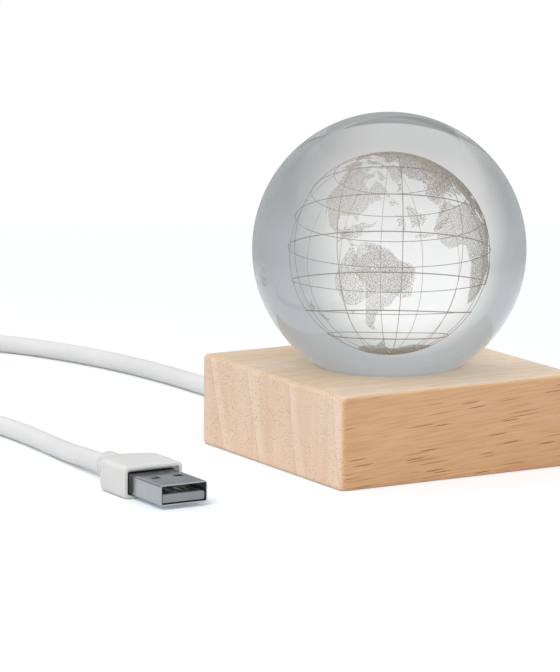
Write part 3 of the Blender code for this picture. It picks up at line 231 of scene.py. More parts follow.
# Each point is (x, y, height above where a resting lead lies), in metres.
ROUTE_OUT = (
    (-0.0001, 0.0520, 0.0041),
    (-0.0004, 0.0610, 0.0021),
    (-0.0008, 0.0710, 0.0004),
    (-0.0011, 0.0800, 0.0),
    (-0.0014, 0.0910, 0.0),
    (-0.0023, 0.1077, 0.0),
    (-0.0046, 0.1253, 0.0),
    (-0.0083, 0.1407, 0.0),
    (-0.0131, 0.1544, 0.0),
    (-0.0192, 0.1660, 0.0),
    (-0.0282, 0.1764, 0.0),
    (-0.0400, 0.1836, 0.0),
    (-0.0540, 0.1867, 0.0),
)
ROUTE_BACK = (
    (-0.1022, 0.1365, 0.0042),
    (-0.0992, 0.1245, 0.0022),
    (-0.0940, 0.1118, 0.0007),
    (-0.0868, 0.0992, 0.0),
    (-0.0792, 0.0877, 0.0),
    (-0.0733, 0.0765, 0.0),
    (-0.0707, 0.0660, 0.0),
    (-0.0701, 0.0550, 0.0),
    (-0.0704, 0.0442, 0.0),
    (-0.0710, 0.0345, 0.0),
    (-0.0717, 0.0255, 0.0002),
    (-0.0723, 0.0165, 0.0007),
)
COIL_CENTRE = Vector((-0.072, 0.1563, 0.0))
COIL_MEAN_RADIUS = 25 * MM
COIL_TURNS = 4.25
COIL_POINTS_PER_TURN = 24
COIL_START_ANGLE = math.radians(90)
COIL_PITCH = 2 * CORD_RADIUS + 0.6 * MM
COIL_OUTER_RADIUS = COIL_MEAN_RADIUS + COIL_PITCH * COIL_TURNS / 4
COIL_CLIMB_TURNS = 0.5
TIE_ANGLE = math.radians(315)
TIE_LIFT = 1.4 * MM
TIE_LIFT_ANGLE = math.radians(60)


def coil_point(turn):
    """Centre of the lead after so many turns of the coil."""
    middle = COIL_TURNS / 2
    radius = COIL_OUTER_RADIUS - COIL_PITCH * (middle - abs(turn - middle))
    angle = COIL_START_ANGLE + turn * 2 * math.pi
    climb = min(1.0, max(0.0, (turn - middle) / COIL_CLIMB_TURNS + 0.5))
    layer = climb * climb * (3 - 2 * climb)
    away = (angle - TIE_ANGLE + math.pi) % (2 * math.pi) - math.pi
    near = max(0.0, 1 - abs(away) / TIE_LIFT_ANGLE)
    height = CORD_REST_HEIGHT + layer * COIL_PITCH + TIE_LIFT * near * near * (3 - 2 * near)
    return COIL_CENTRE + Vector((radius * math.cos(angle), radius * math.sin(angle), height))


def route_points(route):
    """The resting height turned into a height above the floor."""
    return [Vector((x, y, CORD_REST_HEIGHT + lift)) for x, y, lift in route]


def lead_points():
    """Every point of the lead, from the sleeve to the coil, round it, and on to the plug."""
    run = 2 * CORD_RADIUS
    ahead = Vector((0, run, 0))
    steps = round(COIL_TURNS * COIL_POINTS_PER_TURN)
    coil = [coil_point(k * COIL_TURNS / steps) for k in range(steps + 1)]
    out = [CORD_EXIT, CORD_EXIT + ahead] + route_points(ROUTE_OUT) + [coil[0] + Vector((run, 0, 0))]
    back = [coil[-1] - ahead] + route_points(ROUTE_BACK) + [PLUG_END + ahead, PLUG_END]
    return out + coil + back


def make_lead(points):
    """The lead as a round tube on one smooth open curve.

    The bevel is one metre and each knot scales it down, because a curve's bounding box is padded by
    the radius of its knots.
    """
    data = bpy.data.curves.new("usb_lead", "CURVE")
    data.dimensions = "3D"
    data.bevel_depth = 1.0
    data.bevel_resolution = CORD_BEVEL_STEPS
    data.resolution_u = 8
    data.use_fill_caps = True
    spline = data.splines.new("BEZIER")
    spline.bezier_points.add(len(points) - 1)
    for knot, point in zip(spline.bezier_points, points):
        knot.co = point
        knot.radius = CORD_RADIUS
        knot.handle_left_type = "AUTO"
        knot.handle_right_type = "AUTO"
    lead = bpy.data.objects.new("usb_lead", data)
    scene.collection.objects.link(lead)
    return lead


usb_lead = make_lead(lead_points())
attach(usb_lead, "base")
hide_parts("cord_from_base", "cord_coil", "cord_to_plug")
CONTACTS = [f"usb_contact_{k}" for k in range(1, 5)]
for name in ["coil_tie", "usb_overmould", "usb_shell", "usb_tongue", *CONTACTS]:
    nodes[name].visible_transmission = False
usb_lead.visible_transmission = False
print("points on the lead:", len(usb_lead.data.splines[0].bezier_points))


# %% [markdown]
# ## Floor, background and light
#
# The lamp stands on a white sweep in a light tent. Seen directly, the sweep burns out to white,
# and only the soft shadow at the foot of the base is left of it. The tent is open at two ends, one
# behind the lamp and one across from it. It is brightest there and falls off to a cool grey at the
# sides. Clear glass shows that fall-off, bent round, so the grey rim of the ball is the tent and
# not a colour of the glass. The dark band at the top of the ball is painted: a shade on the floor
# round the base and a grey glow on the wood, both seen only through glass. One colour ramp holds
# the fall-off, and the floor and the world both read it. Lamps light the pieces at a plain level
# and stay out of the reflections.

# %% The fall-off of the tent
BRIGHT_HEADING = math.radians(24)
BRIGHT_ELEVATION = math.radians(6)
BRIGHT_DIRECTION = Vector((math.sin(BRIGHT_HEADING) * math.cos(BRIGHT_ELEVATION),
                           math.cos(BRIGHT_HEADING) * math.cos(BRIGHT_ELEVATION),
                           math.sin(BRIGHT_ELEVATION)))

# Degrees away from the nearer open end, and the colour of the tent there.
TENT_FALL_OFF = ((90, "#92979A"), (70, "#9CA1A4"), (54, "#ACB1B4"), (44, "#B4B8BB"), (36, "#BABEC0"),
                 (30, "#CDD0D0"), (24, "#E3E4E3"), (18, "#F6F6F4"), (12, "#FFFFFF"))
TENT_SQUEEZE = 1.4


def tent_colour(tree, direction):
    """Colour of the tent in a direction: a ramp over the angle to its nearer open end."""
    along = add_node(tree, "VectorMath", {"operation": "DOT_PRODUCT"}, i0=direction, i1=BRIGHT_DIRECTION)
    share = add_node(tree, "Math", {"operation": "ABSOLUTE"}, i0=along.outputs["Value"])
    stops = [(math.cos(math.radians(angle)), linear(colour)) for angle, colour in TENT_FALL_OFF]
    return ramp_of(tree, share.outputs[0], stops)


def by_ray(tree, lit, mirrored, through_glass, seen):
    """One shader for diffuse light, one for mirrored rays, one behind glass and one for the eye.

    A ray through glass counts as a mirrored one too, so the order matters.
    """
    path = add_node(tree, "LightPath")
    final = lit
    for flag, shader in (("Is Glossy Ray", mirrored), ("Is Transmission Ray", through_glass),
                         ("Is Camera Ray", seen)):
        final = add_node(tree, "MixShader", Fac=path.outputs[flag], i1=final.outputs[0],
                         i2=shader.outputs[0])
    return final


print("direction of the far open end:", [round(v, 2) for v in BRIGHT_DIRECTION])


# %% Floor
FLOOR_RADIUS = 3.0
FLOOR_SEGMENTS = 96
FLOOR_GLOW = 0.195
MIRRORED_GREY = "#AEB2B4"
MIRRORED_WHITE = "#F4F5F6"
MIRRORED_NEAR = 0.08
MIRRORED_FAR = 0.32
NEAR_FLOOR = 0.22
FAR_FLOOR = 0.42

# How bright the floor looks through the ball, against nearness: a distance in millimetres over the
# distance of the place from the middle of the base. It changes evenly with the angle of the ray.
NEAREST_MM = 50
# The dark stops near the base are a painted shade round its foot.
PAINTED_FLOOR_SHADE_IN_GLASS = ((0.0, 1.0), (0.2, 0.93), (0.4, 0.74), (0.6, 0.62), (0.895, 0.62), (0.925, 0.25))


def painted_floor_shade_in_glass(tree, away):
    """How bright the floor looks through the ball at this distance: painted shade round the base's foot.
    """
    nearness = add_node(tree, "Math", {"operation": "DIVIDE"}, i0=NEAREST_MM * MM, i1=away)
    stops = [(near, (level, level, level, 1.0)) for near, level in PAINTED_FLOOR_SHADE_IN_GLASS]
    return ramp_of(tree, nearness.outputs[0], stops)


def floor_material():
    """Matt white card near the lamp, burnt out to white further away.

    The pieces are lit by a rough card. The eye sees a smoother one with a faint glow, because a rough
    card would look grey from the far side. Mirrored, it fades to the grey of the tent, so that no
    horizon shows on the ball.
    """
    material, output = new_material("white_card")
    tree = material.node_tree
    place = add_node(tree, "NewGeometry").outputs["Position"]
    flat = add_node(tree, "VectorMath", {"operation": "MULTIPLY"}, i0=place, i1=(1, 1, 0))
    away = add_node(tree, "VectorMath", {"operation": "LENGTH"}, i0=flat.outputs[0])
    distance = add_node(tree, "MapRange", {"interpolation_type": "SMOOTHSTEP"},
                        Value=away.outputs["Value"], From_Min=NEAR_FLOOR, From_Max=FAR_FLOOR)
    matt = add_node(tree, "BsdfDiffuse", Color=linear("#F4F4F4"), Roughness=1.0)
    card = add_node(tree, "BsdfDiffuse", Color=linear("#F4F4F4"), Roughness=0.0)
    glow = add_node(tree, "Emission", Color=linear("#DDEEFF"), Strength=FLOOR_GLOW)
    near = add_node(tree, "AddShader", i0=card.outputs[0], i1=glow.outputs[0])
    far = add_node(tree, "Emission", Color=linear("#FFFFFF"), Strength=1.0)
    seen = add_node(tree, "MixShader", Fac=distance.outputs[0], i1=near.outputs[0], i2=far.outputs[0])

    fading = ramp_between(tree, away.outputs["Value"], MIRRORED_NEAR, MIRRORED_FAR)
    grey = add_node(tree, "Emission", Color=linear(MIRRORED_GREY), Strength=1.0)
    mirrored = add_node(tree, "MixShader", Fac=fading, i1=near.outputs[0], i2=grey.outputs[0])

    heading = add_node(tree, "VectorMath", {"operation": "NORMALIZE"}, i0=flat.outputs[0])
    # Through the ball the floor shows the tent's colour, with a painted shade round the base.
    tent = add_node(tree, "Emission", Color=tent_colour(tree, heading.outputs[0]),
                    Strength=painted_floor_shade_in_glass(tree, away.outputs["Value"]))
    final = by_ray(tree, matt, mirrored, tent, seen)
    tree.links.new(final.outputs[0], output.inputs["Surface"])
    return material


def make_floor():
    """A large disc under the lamp."""
    shape = bmesh.new()
    bmesh.ops.create_circle(shape, cap_ends=True, segments=FLOOR_SEGMENTS, radius=FLOOR_RADIUS)
    floor = link_mesh("floor", shape, floor_material(), smooth=False)


make_floor()
print("floor radius, m:", FLOOR_RADIUS)


# %% Background and world light
PLAIN_LEVEL = 0.71
MIRRORED_RISE = (0.38, 0.52)
TOP_LEFT_PLACE = Vector((-0.9, -0.5, 1.3))
TOP_LEFT_TARGET = Vector((0, 0, 0.03))
TOP_LEFT_SIZE = 0.9
TOP_LEFT_WATTS = 12.5
GATHERED_AT = Vector((27, -3, 22)) * MM
GATHERED_FROM = Vector((60, 20, 340)) * MM
GATHERED_SPREAD = math.radians(5)
GATHERED_SOURCE_RADIUS = 10 * MM
GATHERED_WATTS = 1.7


def make_world():
    """A light tent: plain for diffuse light, white for the eye, and its fall-off for glass.

    The tent is wider than it is high, so upwards it falls off sooner.
    """
    world = bpy.data.worlds.new("light_tent")
    world.use_nodes = True
    tree = world.node_tree
    tree.nodes.clear()
    output = tree.nodes.new("ShaderNodeOutputWorld")
    where = add_node(tree, "TexCoord").outputs["Generated"]
    above = add_node(tree, "VectorMath", {"operation": "MAXIMUM"}, i0=where, i1=(-1, -1, 0))
    wide = add_node(tree, "VectorMath", {"operation": "MULTIPLY"}, i0=above.outputs[0],
                    i1=(1, 1, TENT_SQUEEZE))
    heading = add_node(tree, "VectorMath", {"operation": "NORMALIZE"}, i0=wide.outputs[0])
    plain = add_node(tree, "Background", Color=linear("#F7F7F6"), Strength=PLAIN_LEVEL)
    height = add_node(tree, "SeparateXYZ", None, Vector=where).outputs["Z"]
    upward = ramp_between(tree, height, *MIRRORED_RISE)
    mirrored = add_node(tree, "Background", Color=blend(tree, upward, MIRRORED_GREY, MIRRORED_WHITE),
                        Strength=1.0)
    tent = add_node(tree, "Background", Color=tent_colour(tree, heading.outputs[0]), Strength=1.0)
    white = add_node(tree, "Background", Color=linear("#FFFFFF"), Strength=1.0)
    final = by_ray(tree, plain, mirrored, tent, white)
    tree.links.new(final.outputs[0], output.inputs["Surface"])
    scene.world = world


def place_lamp(name, kind, place, target, watts):
    """A lamp that lights the pieces and isn't mirrored in them."""
    data = bpy.data.lights.new(name, kind)
    data.energy = watts
    lamp = bpy.data.objects.new(name, data)
    lamp.location = place
    lamp.rotation_mode = "QUATERNION"
    lamp.rotation_quaternion = (target - place).to_track_quat("-Z", "Y")
    lamp.visible_glossy = False
    lamp.visible_transmission = False
    scene.collection.objects.link(lamp)
    return data


def make_lamps():
    """A soft square lamp, and the soft bright patch that the ball throws on the wood as a lens."""
    square = place_lamp("lamp_top_left", "AREA", TOP_LEFT_PLACE, TOP_LEFT_TARGET, TOP_LEFT_WATTS)
    square.size = TOP_LEFT_SIZE
    patch = place_lamp("gathered_light", "SPOT", GATHERED_AT + GATHERED_FROM, GATHERED_AT, GATHERED_WATTS)
    patch.spot_size = GATHERED_SPREAD
    patch.spot_blend = 1.0
    patch.shadow_soft_size = GATHERED_SOURCE_RADIUS


make_world()
make_lamps()
print("world level for diffuse light:", PLAIN_LEVEL)


# %% [markdown]
# ## The glass ball
#
# The ball is optical crown glass, cast, ground and polished, so it has next to no roughness and an
# index of 1.52. A finer ball than the one in the frame replaces it, because every facet would show
# in the refraction. A renderer that follows paths from the eye rarely finds a lamp through a lens,
# and the wood under the ball would go black. So light on its way to a surface passes straight
# through the ball, as most of it does in the end.

# %% Glass ball
CROWN_GLASS_IOR = 1.516
BALL_SEGMENTS = 256
BALL_RINGS = 128

ball_low, ball_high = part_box("crystal_ball")
BALL_CENTRE = (ball_low + ball_high) / 2
BALL_RADIUS = (ball_high.z - ball_low.z) / 2


def polished_glass():
    """Clear polished glass that lets the light of the lamps through."""
    material, output = new_material("polished_crown_glass")
    tree = material.node_tree
    glass = add_node(tree, "BsdfPrincipled", Base_Color=linear("#F9FAFA"), Roughness=0.0,
                     IOR=CROWN_GLASS_IOR, Transmission_Weight=1.0)
    clear = add_node(tree, "BsdfTransparent", Color=linear("#F2F5F6"))
    path = add_node(tree, "LightPath")
    mix = add_node(tree, "MixShader", Fac=path.outputs["Is Shadow Ray"], i1=glass.outputs[0],
                   i2=clear.outputs[0])
    tree.links.new(mix.outputs[0], output.inputs["Surface"])
    return material


def make_glass_ball():
    """A fine sphere at the ball's own centre and radius."""
    shape = bmesh.new()
    bmesh.ops.create_uvsphere(shape, u_segments=BALL_SEGMENTS, v_segments=BALL_RINGS, radius=BALL_RADIUS)
    ball = link_mesh("glass_ball", shape, polished_glass())
    ball.location = BALL_CENTRE
    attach(ball, "ball")
    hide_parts("crystal_ball")


make_glass_ball()
print("ball radius, mm:", round(BALL_RADIUS / MM, 2))


# %% [markdown]
# ## The globe inside the ball
#
# A focused laser cracks the glass at thousands of tiny points, and the cracks scatter light while
# the glass around them stays clear. Together they draw a globe half as wide as the ball: the land
# as a mist of points, and a net of lines for latitude and longitude. Each point is modelled as a
# flake of its own, and each line as a hair-thin tube. The points lie on a spiral that covers the
# sphere evenly, shaken a little so that no rows show, and a point is kept where it falls on land.
# The coasts are plain outlines in degrees of longitude and latitude, as anyone can read them off a
# school atlas.

# %% Outlines of the land
COASTS = {
    "africa": (
        (-6, 36), (10, 37), (11, 33), (20, 31), (25, 32), (32, 31), (35, 27), (37, 21), (39, 15),
        (43, 11.5), (51, 12), (48, 5), (42, -1), (39, -6), (41, -15), (35, -20), (35, -25), (32, -29),
        (26, -34), (20, -35), (17, -30), (14, -22), (12, -16), (13, -9), (9, -1), (9, 4), (5, 6),
        (-2, 5), (-8, 4.5), (-13, 8), (-17, 13), (-17, 21), (-13, 27), (-9, 31)),
    "south_america": (
        (-77, 8), (-72, 12), (-62, 10.5), (-57, 6), (-51, 4), (-48, -1), (-40, -3), (-35, -6),
        (-35, -9), (-39, -14), (-40, -21), (-45, -23.5), (-48.5, -27), (-53, -34), (-58, -35),
        (-57, -38), (-62, -39), (-65, -43), (-66, -47), (-69, -51), (-65, -55), (-72, -54), (-75, -49),
        (-73, -40), (-71, -30), (-70, -19), (-76, -14), (-81, -6), (-80, 0), (-78, 3)),
    "north_america": (
        (-168, 66), (-162, 59), (-157, 57), (-165, 54.5), (-152, 60), (-146, 61), (-138, 59),
        (-131, 54), (-124, 48), (-124, 40), (-120, 34), (-117, 32), (-112, 25), (-110, 23), (-114, 31),
        (-109, 26), (-106, 23), (-105, 20), (-97, 16), (-92, 14.5), (-87, 12.5), (-83, 8.5), (-79, 7.5),
        (-77, 8.5), (-82, 10), (-84, 15), (-88, 16), (-87, 21), (-90.5, 21), (-91, 18.5), (-95, 18.5),
        (-97.5, 23), (-97, 28), (-90, 29.5), (-85, 29.7), (-82.5, 27), (-81, 25), (-80, 27), (-81, 31),
        (-76, 35), (-74, 40), (-70, 42), (-66, 44), (-61, 46), (-65, 48.5), (-60, 50), (-56, 52),
        (-62, 58), (-65, 60), (-70, 61), (-77, 62.5), (-77, 58), (-79, 54), (-80, 51.5), (-82, 55),
        (-88, 56.5), (-94, 59), (-93, 62), (-87, 64), (-82, 67), (-85, 69), (-95, 68), (-108, 68),
        (-115, 68.5), (-128, 70), (-141, 70), (-156, 71.5)),
    "greenland": (
        (-73, 78), (-60, 82), (-35, 83.5), (-20, 80), (-22, 72), (-32, 68), (-43, 60), (-51, 64),
        (-54, 70), (-60, 76)),
    "baffin": (
        (-65, 62.5), (-62, 67), (-70, 71), (-80, 73.5), (-88, 73), (-80, 70), (-73, 67), (-72, 64)),
    "ellesmere": ((-62, 82.5), (-90, 81.5), (-88, 76.5), (-78, 76.5)),
    "arctic_island": ((-105, 69), (-117, 70), (-118, 73), (-105, 73)),
    "europe_and_asia": (
        (-9, 37), (-9, 43), (-2, 43.5), (-1, 46), (-4.5, 48.4), (2, 51), (8, 54), (8, 57), (10.5, 57.5),
        (11, 54.5), (19, 54.5), (22, 57), (24, 59.5), (29, 60), (22, 60.5), (21.5, 63), (25, 65),
        (22, 65.8), (17, 61.5), (18.5, 60), (16, 56.5), (13, 55.5), (11, 59), (7, 58), (5, 61),
        (12, 66), (18, 69.5), (26, 71), (31, 70), (41, 67), (36, 64), (44, 66.5), (54, 68.5), (67, 69),
        (69, 73), (80, 73), (90, 75), (104, 77.5), (113, 74), (130, 72), (140, 73), (160, 70),
        (170, 70), (180, 69), (190, 66), (178, 62.5), (165, 60), (163, 56), (157, 51), (156, 57),
        (163, 62), (155, 59.5), (143, 59), (135, 54.5), (141, 52), (140, 48), (135, 43.5), (129.5, 41),
        (129, 36), (126.5, 34.5), (125, 38), (121, 39.5), (118, 39), (122, 37), (119, 35), (122, 31),
        (120, 26), (115, 22.5), (110, 21), (106, 20), (109, 13), (106.5, 9.5), (105, 9), (102.5, 12.5),
        (100.5, 13.5), (99.5, 10), (103.5, 1.5), (101, 3), (98, 9), (98, 16), (94.5, 16.5), (92, 21.5),
        (88, 22), (83, 18), (80, 14), (79.8, 10), (77.5, 8), (75, 13), (72.8, 20), (69, 22), (66.5, 25),
        (57, 26), (50, 30), (48, 30), (51, 24.5), (56, 26), (59.5, 22.5), (55, 17.5), (45, 13),
        (43, 13), (39, 21), (35, 28), (34.5, 31.5), (36, 36.5), (28, 36.5), (26.5, 40), (29, 41.2),
        (36, 42), (41, 41.5), (38, 44.5), (38, 47), (33, 46), (31, 46.5), (28.5, 44), (28, 41.5),
        (24, 40.5), (24, 38), (22.5, 36.5), (20, 39.5), (19.5, 42), (13.5, 45.5), (12.5, 44),
        (18.5, 40), (16, 38), (12, 42), (8.5, 44.3), (3, 43), (0, 40.5), (-0.5, 38), (-4.5, 36.5)),
    "australia": (
        (114, -22), (122, -18), (126, -14), (130, -12), (136.5, -12), (135.5, -15), (140.5, -17.5),
        (142.5, -11), (145.5, -15), (149, -20.5), (153, -26), (153, -31), (150, -37.5), (144, -38.5),
        (138, -35.5), (136, -34.8), (131, -31.5), (124, -33), (119, -35), (115, -34), (113.5, -26)),
    "antarctica": (
        (-180, -78), (-160, -77.5), (-145, -75.5), (-125, -73.5), (-100, -72.5), (-75, -73), (-66, -68),
        (-57, -63.3), (-61, -67.5), (-61, -74), (-50, -78), (-35, -78), (-25, -74), (-10, -70.5),
        (10, -70), (35, -69), (50, -66.5), (72, -69), (80, -67.5), (100, -65.5), (115, -66.5),
        (135, -66), (150, -68.5), (165, -71), (170, -77), (180, -78), (180, -90), (-180, -90)),
    "great_britain": (
        (-5.5, 50), (1, 51), (0, 53.5), (-2, 56), (-2, 57.7), (-5, 58.6), (-6, 56.5), (-3, 54),
        (-5, 52)),
    "ireland": ((-6, 52.2), (-6, 55), (-8, 55), (-10, 52)),
    "iceland": ((-24, 65.5), (-14.5, 66.3), (-14, 64.6), (-19, 63.4), (-22.5, 64)),
    "madagascar": ((49.3, -12), (50.3, -16), (47, -25), (44, -24.5), (44, -17)),
    "sri_lanka": ((80, 9.5), (81.7, 7.5), (80.3, 6)),
    "sumatra": (
        (95.5, 5.5), (100, 1.8), (104, -1.5), (106, -3.5), (105.5, -5.8), (101.5, -3), (98, 1.5)),
    "java": ((105.3, -6.8), (110, -6.5), (114.5, -7.5), (114.5, -8.7), (108, -7.7)),
    "borneo": (
        (109, 1.5), (113, 3.2), (117, 7), (119, 5), (117.5, 1), (116, -4), (111, -3), (110, -1)),
    "sulawesi": (
        (119, -5.5), (120.4, -5.5), (120.6, -2.8), (122.8, -5.2), (122, -2), (123.3, -0.7),
        (120.3, 0.5), (125, 1.5), (120, 1.3), (119, -2.5)),
    "new_guinea": (
        (131, -0.8), (134.5, -3), (138, -1.6), (145, -4.5), (147.5, -6), (150.5, -10.5), (145, -7.8),
        (141, -9), (138, -8), (137.5, -5), (133, -4)),
    "luzon": ((120.5, 18.5), (122.2, 18.3), (122, 15), (124, 13), (120.6, 14)),
    "mindanao": ((122, 7), (125, 9.7), (126.3, 8), (125.5, 5.7), (124, 6.5)),
    "taiwan": ((121.5, 25.2), (120.8, 22), (120.1, 23.5)),
    "honshu": (
        (130, 33), (131, 31.2), (132, 33.5), (136, 33.7), (140, 35), (142, 39.5), (141, 41.3),
        (139.8, 39), (136.5, 37), (133, 35.5)),
    "hokkaido": ((140, 42), (143.2, 42), (145.5, 43.5), (141.8, 45.4)),
    "sakhalin": ((142, 46), (143.5, 49.5), (142.8, 54), (141.8, 52)),
    "tasmania": ((145, -41), (148.3, -41), (147, -43.6)),
    "new_zealand_north": ((173, -34.5), (178.5, -37.7), (176, -41), (173.8, -39.3), (175, -37)),
    "new_zealand_south": (
        (172.7, -40.6), (174, -42), (171, -45), (168.5, -46.6), (166.5, -46), (170, -43)),
    "cuba": ((-85, 22), (-80, 23.2), (-74.3, 20.2), (-78, 19.9)),
    "hispaniola": ((-74.4, 18.5), (-72.5, 19.9), (-68.5, 18.6), (-71.5, 17.8)),
    "newfoundland": ((-59, 47.7), (-55.5, 51.5), (-53, 47)),
    "svalbard": ((11, 79), (20, 80.3), (27, 80), (17, 76.7)),
    "novaya_zemlya": ((52, 71), (60, 76), (68, 77), (57, 71)),
}
print("outlines:", len(COASTS), "points:", sum(len(outline) for outline in COASTS.values()))


# %% Where the points of the land go
GLOBE_RADIUS = 15.8 * MM
GLOBE_SINK = 0.7 * MM
GLOBE_TURN = math.radians(-68)
GLOBE_LEAN = math.radians(1.5)
LEAN_HEADING = math.radians(-30.5)
LEAN_AXIS = Vector((math.cos(LEAN_HEADING), math.sin(LEAN_HEADING), 0.0))

# The map is engraved this many degrees north of its net, and less so towards the poles.
MAP_SHIFT = 6.0
FLAKE_SPACING = 0.105 * MM
FLAKE_SHAKE = 0.5
SHAKE_SEED = 7
GOLDEN_ANGLE = math.pi * (3 - math.sqrt(5))

GLOBE_CENTRE = BALL_CENTRE - Vector((0, 0, GLOBE_SINK))


def on_land(longitude, latitude):
    """A mask of the points, given in degrees, that fall inside any outline."""
    land = np.zeros(len(longitude), bool)
    for outline in COASTS.values():
        for turn in (0, 360):
            x = longitude + turn
            inside = np.zeros(len(longitude), bool)
            for (x1, y1), (x2, y2) in zip(outline, outline[1:] + outline[:1]):
                if y1 != y2:
                    crossed = (y1 > latitude) != (y2 > latitude)
                    inside ^= crossed & (x < x1 + (latitude - y1) * (x2 - x1) / (y2 - y1))
            land |= inside
    return land


def land_directions():
    """Unit vectors from the globe's centre to the points of the land."""
    count = round(4 * math.pi * (GLOBE_RADIUS / FLAKE_SPACING) ** 2)
    index = np.arange(count)
    lift = 1 - (2 * index + 1) / count
    turn = index * GOLDEN_ANGLE
    flat = np.sqrt(1 - lift * lift)
    spread = FLAKE_SHAKE * FLAKE_SPACING / GLOBE_RADIUS
    shake = np.random.default_rng(SHAKE_SEED).normal(0, spread, (count, 3))
    directions = np.stack([flat * np.cos(turn), flat * np.sin(turn), lift], axis=1) + shake
    directions /= np.linalg.norm(directions, axis=1, keepdims=True)
    height = directions[:, 2]
    longitude = np.degrees(np.arctan2(directions[:, 1], directions[:, 0]) - GLOBE_TURN)
    latitude = np.degrees(np.arcsin(height)) - MAP_SHIFT * np.sqrt(1 - height * height)
    keep = on_land((longitude + 180) % 360 - 180, latitude)
    return directions[keep]


land = land_directions()
print("points on land:", len(land))


# %% [markdown]
# A laser cracks the glass in tiny flat flakes, which stand at any angle. A real flake is a few
# hundredths of a millimetre across. The flakes here are wider and fewer, and partly clear, which
# gives the land the same soft grey. One triangle for a flake is enough at that size.

# %% Land and lines
FLAKE_RADIUS = 0.105 * MM
FLAKE_SEED = 11
FLAKE_OPACITY = 0.5
FROST_GRAIN_MM = 0.8
LINE_OPACITY = 0.8
RING_RADIUS = 0.068 * MM
MERIDIAN_RADIUS = 0.045 * MM
RING_LATITUDES = range(-54, 55, 18)
MERIDIAN_STEP = 30
LINE_STEPS = 96


def engraved_glass(name, shade, depth_shade, opacity):
    """Frosted cracks in clear glass: a matt grey-brown with a paler and a darker grain."""
    material, output = new_material(name)
    tree = material.node_tree
    where = add_node(tree, "TexCoord").outputs["Object"]
    grain = add_node(tree, "TexNoise", None, Vector=where, Scale=1 / (FROST_GRAIN_MM * MM), Detail=3.0)
    frosted = add_node(tree, "BsdfPrincipled", Roughness=0.9, Specular_IOR_Level=0.1, Alpha=opacity,
                       Base_Color=blend(tree, grain.outputs["Fac"], depth_shade, shade))
    tree.links.new(frosted.outputs[0], output.inputs["Surface"])
    return material


def make_land():
    """One flat three-cornered flake for each point, at any angle, all in one mesh."""
    first, second = np.random.default_rng(FLAKE_SEED).normal(size=(2, len(land), 3))
    first /= np.linalg.norm(first, axis=1, keepdims=True)
    second = np.cross(first, second)
    second /= np.linalg.norm(second, axis=1, keepdims=True)
    thirds = [k * 2 * math.pi / 3 for k in range(3)]
    corners = np.stack([first * math.cos(turn) + second * math.sin(turn) for turn in thirds], axis=1)
    points = land[:, None, :] * GLOBE_RADIUS + corners * FLAKE_RADIUS
    mesh = bpy.data.meshes.new("engraved_land")
    triangles = np.arange(3 * len(land)).reshape(-1, 3)
    mesh.from_pydata(points.reshape(-1, 3).tolist(), [], triangles.tolist())
    mesh.materials.append(engraved_glass("frosted_flakes", "#E1D5C7", "#CDC0B1", FLAKE_OPACITY))
    return bpy.data.objects.new("engraved_land", mesh)


def globe_point(around, lift):
    """The point of the globe at this turn about its axis and this angle above its equator."""
    flat = GLOBE_RADIUS * math.cos(lift)
    return Vector((flat * math.cos(around), flat * math.sin(around), GLOBE_RADIUS * math.sin(lift)))


def ring_points(latitude):
    """A full circle at this latitude."""
    lift = math.radians(latitude)
    return [globe_point(k * 2 * math.pi / LINE_STEPS, lift) for k in range(LINE_STEPS)]


def meridian_points(longitude):
    """A half circle from pole to pole."""
    around = math.radians(longitude) + GLOBE_TURN
    steps = LINE_STEPS // 2
    return [globe_point(around, math.pi * (k / steps - 0.5)) for k in range(steps + 1)]


def make_lines(name, paths, radius, closed):
    """Thin tubes along these paths, as one curve with a bevel."""
    data = bpy.data.curves.new(name, "CURVE")
    data.dimensions = "3D"
    data.bevel_depth = radius
    data.bevel_resolution = 0
    for points in paths:
        spline = data.splines.new("POLY")
        spline.points.add(len(points) - 1)
        spline.use_cyclic_u = closed
        for knot, point in zip(spline.points, points):
            knot.co = (*point, 1)
    data.materials.append(line_glass)
    return bpy.data.objects.new(name, data)


line_glass = engraved_glass("frosted_lines", "#EADFD3", "#D2C5B8", LINE_OPACITY)
rings = [ring_points(latitude) for latitude in RING_LATITUDES]
meridians = [meridian_points(longitude) for longitude in range(0, 360, MERIDIAN_STEP)]
engraving = (make_land(), make_lines("engraved_rings", rings, RING_RADIUS, True),
             make_lines("engraved_meridians", meridians, MERIDIAN_RADIUS, False))
for piece in engraving:
    piece.location = GLOBE_CENTRE
    piece.rotation_mode = "AXIS_ANGLE"
    piece.rotation_axis_angle = (GLOBE_LEAN, *LEAN_AXIS)
    scene.collection.objects.link(piece)
    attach(piece, "ball")
print("flakes:", len(land), "rings:", len(rings), "meridians:", len(meridians))


# %% [markdown]
# ## The rubberwood base
#
# The block is rubberwood, sawn, planed and sanded, with its grain running from left to right. Its
# pores are long thin tubes. Where a saw cuts along them they show as dark dashes, and where it cuts
# across them, on the end grain, as dots. One pattern in three dimensions gives both: it is
# stretched along the grain, so each face shows the cut that it would really make. Fine pores lie
# close together, and a few wide ones are dark with sap. Each growth layer ends in a thin dark line
# with a pale band beside it. The pattern is measured in millimetres. The front and back faces are
# darker and more orange, partly their own colour and partly painted shade. The ball bends the wood
# under it into its rim, where a catalogue picture would have it toned down to grey, so a ray that
# came through glass sees the wood mostly as a flat painted grey glow.

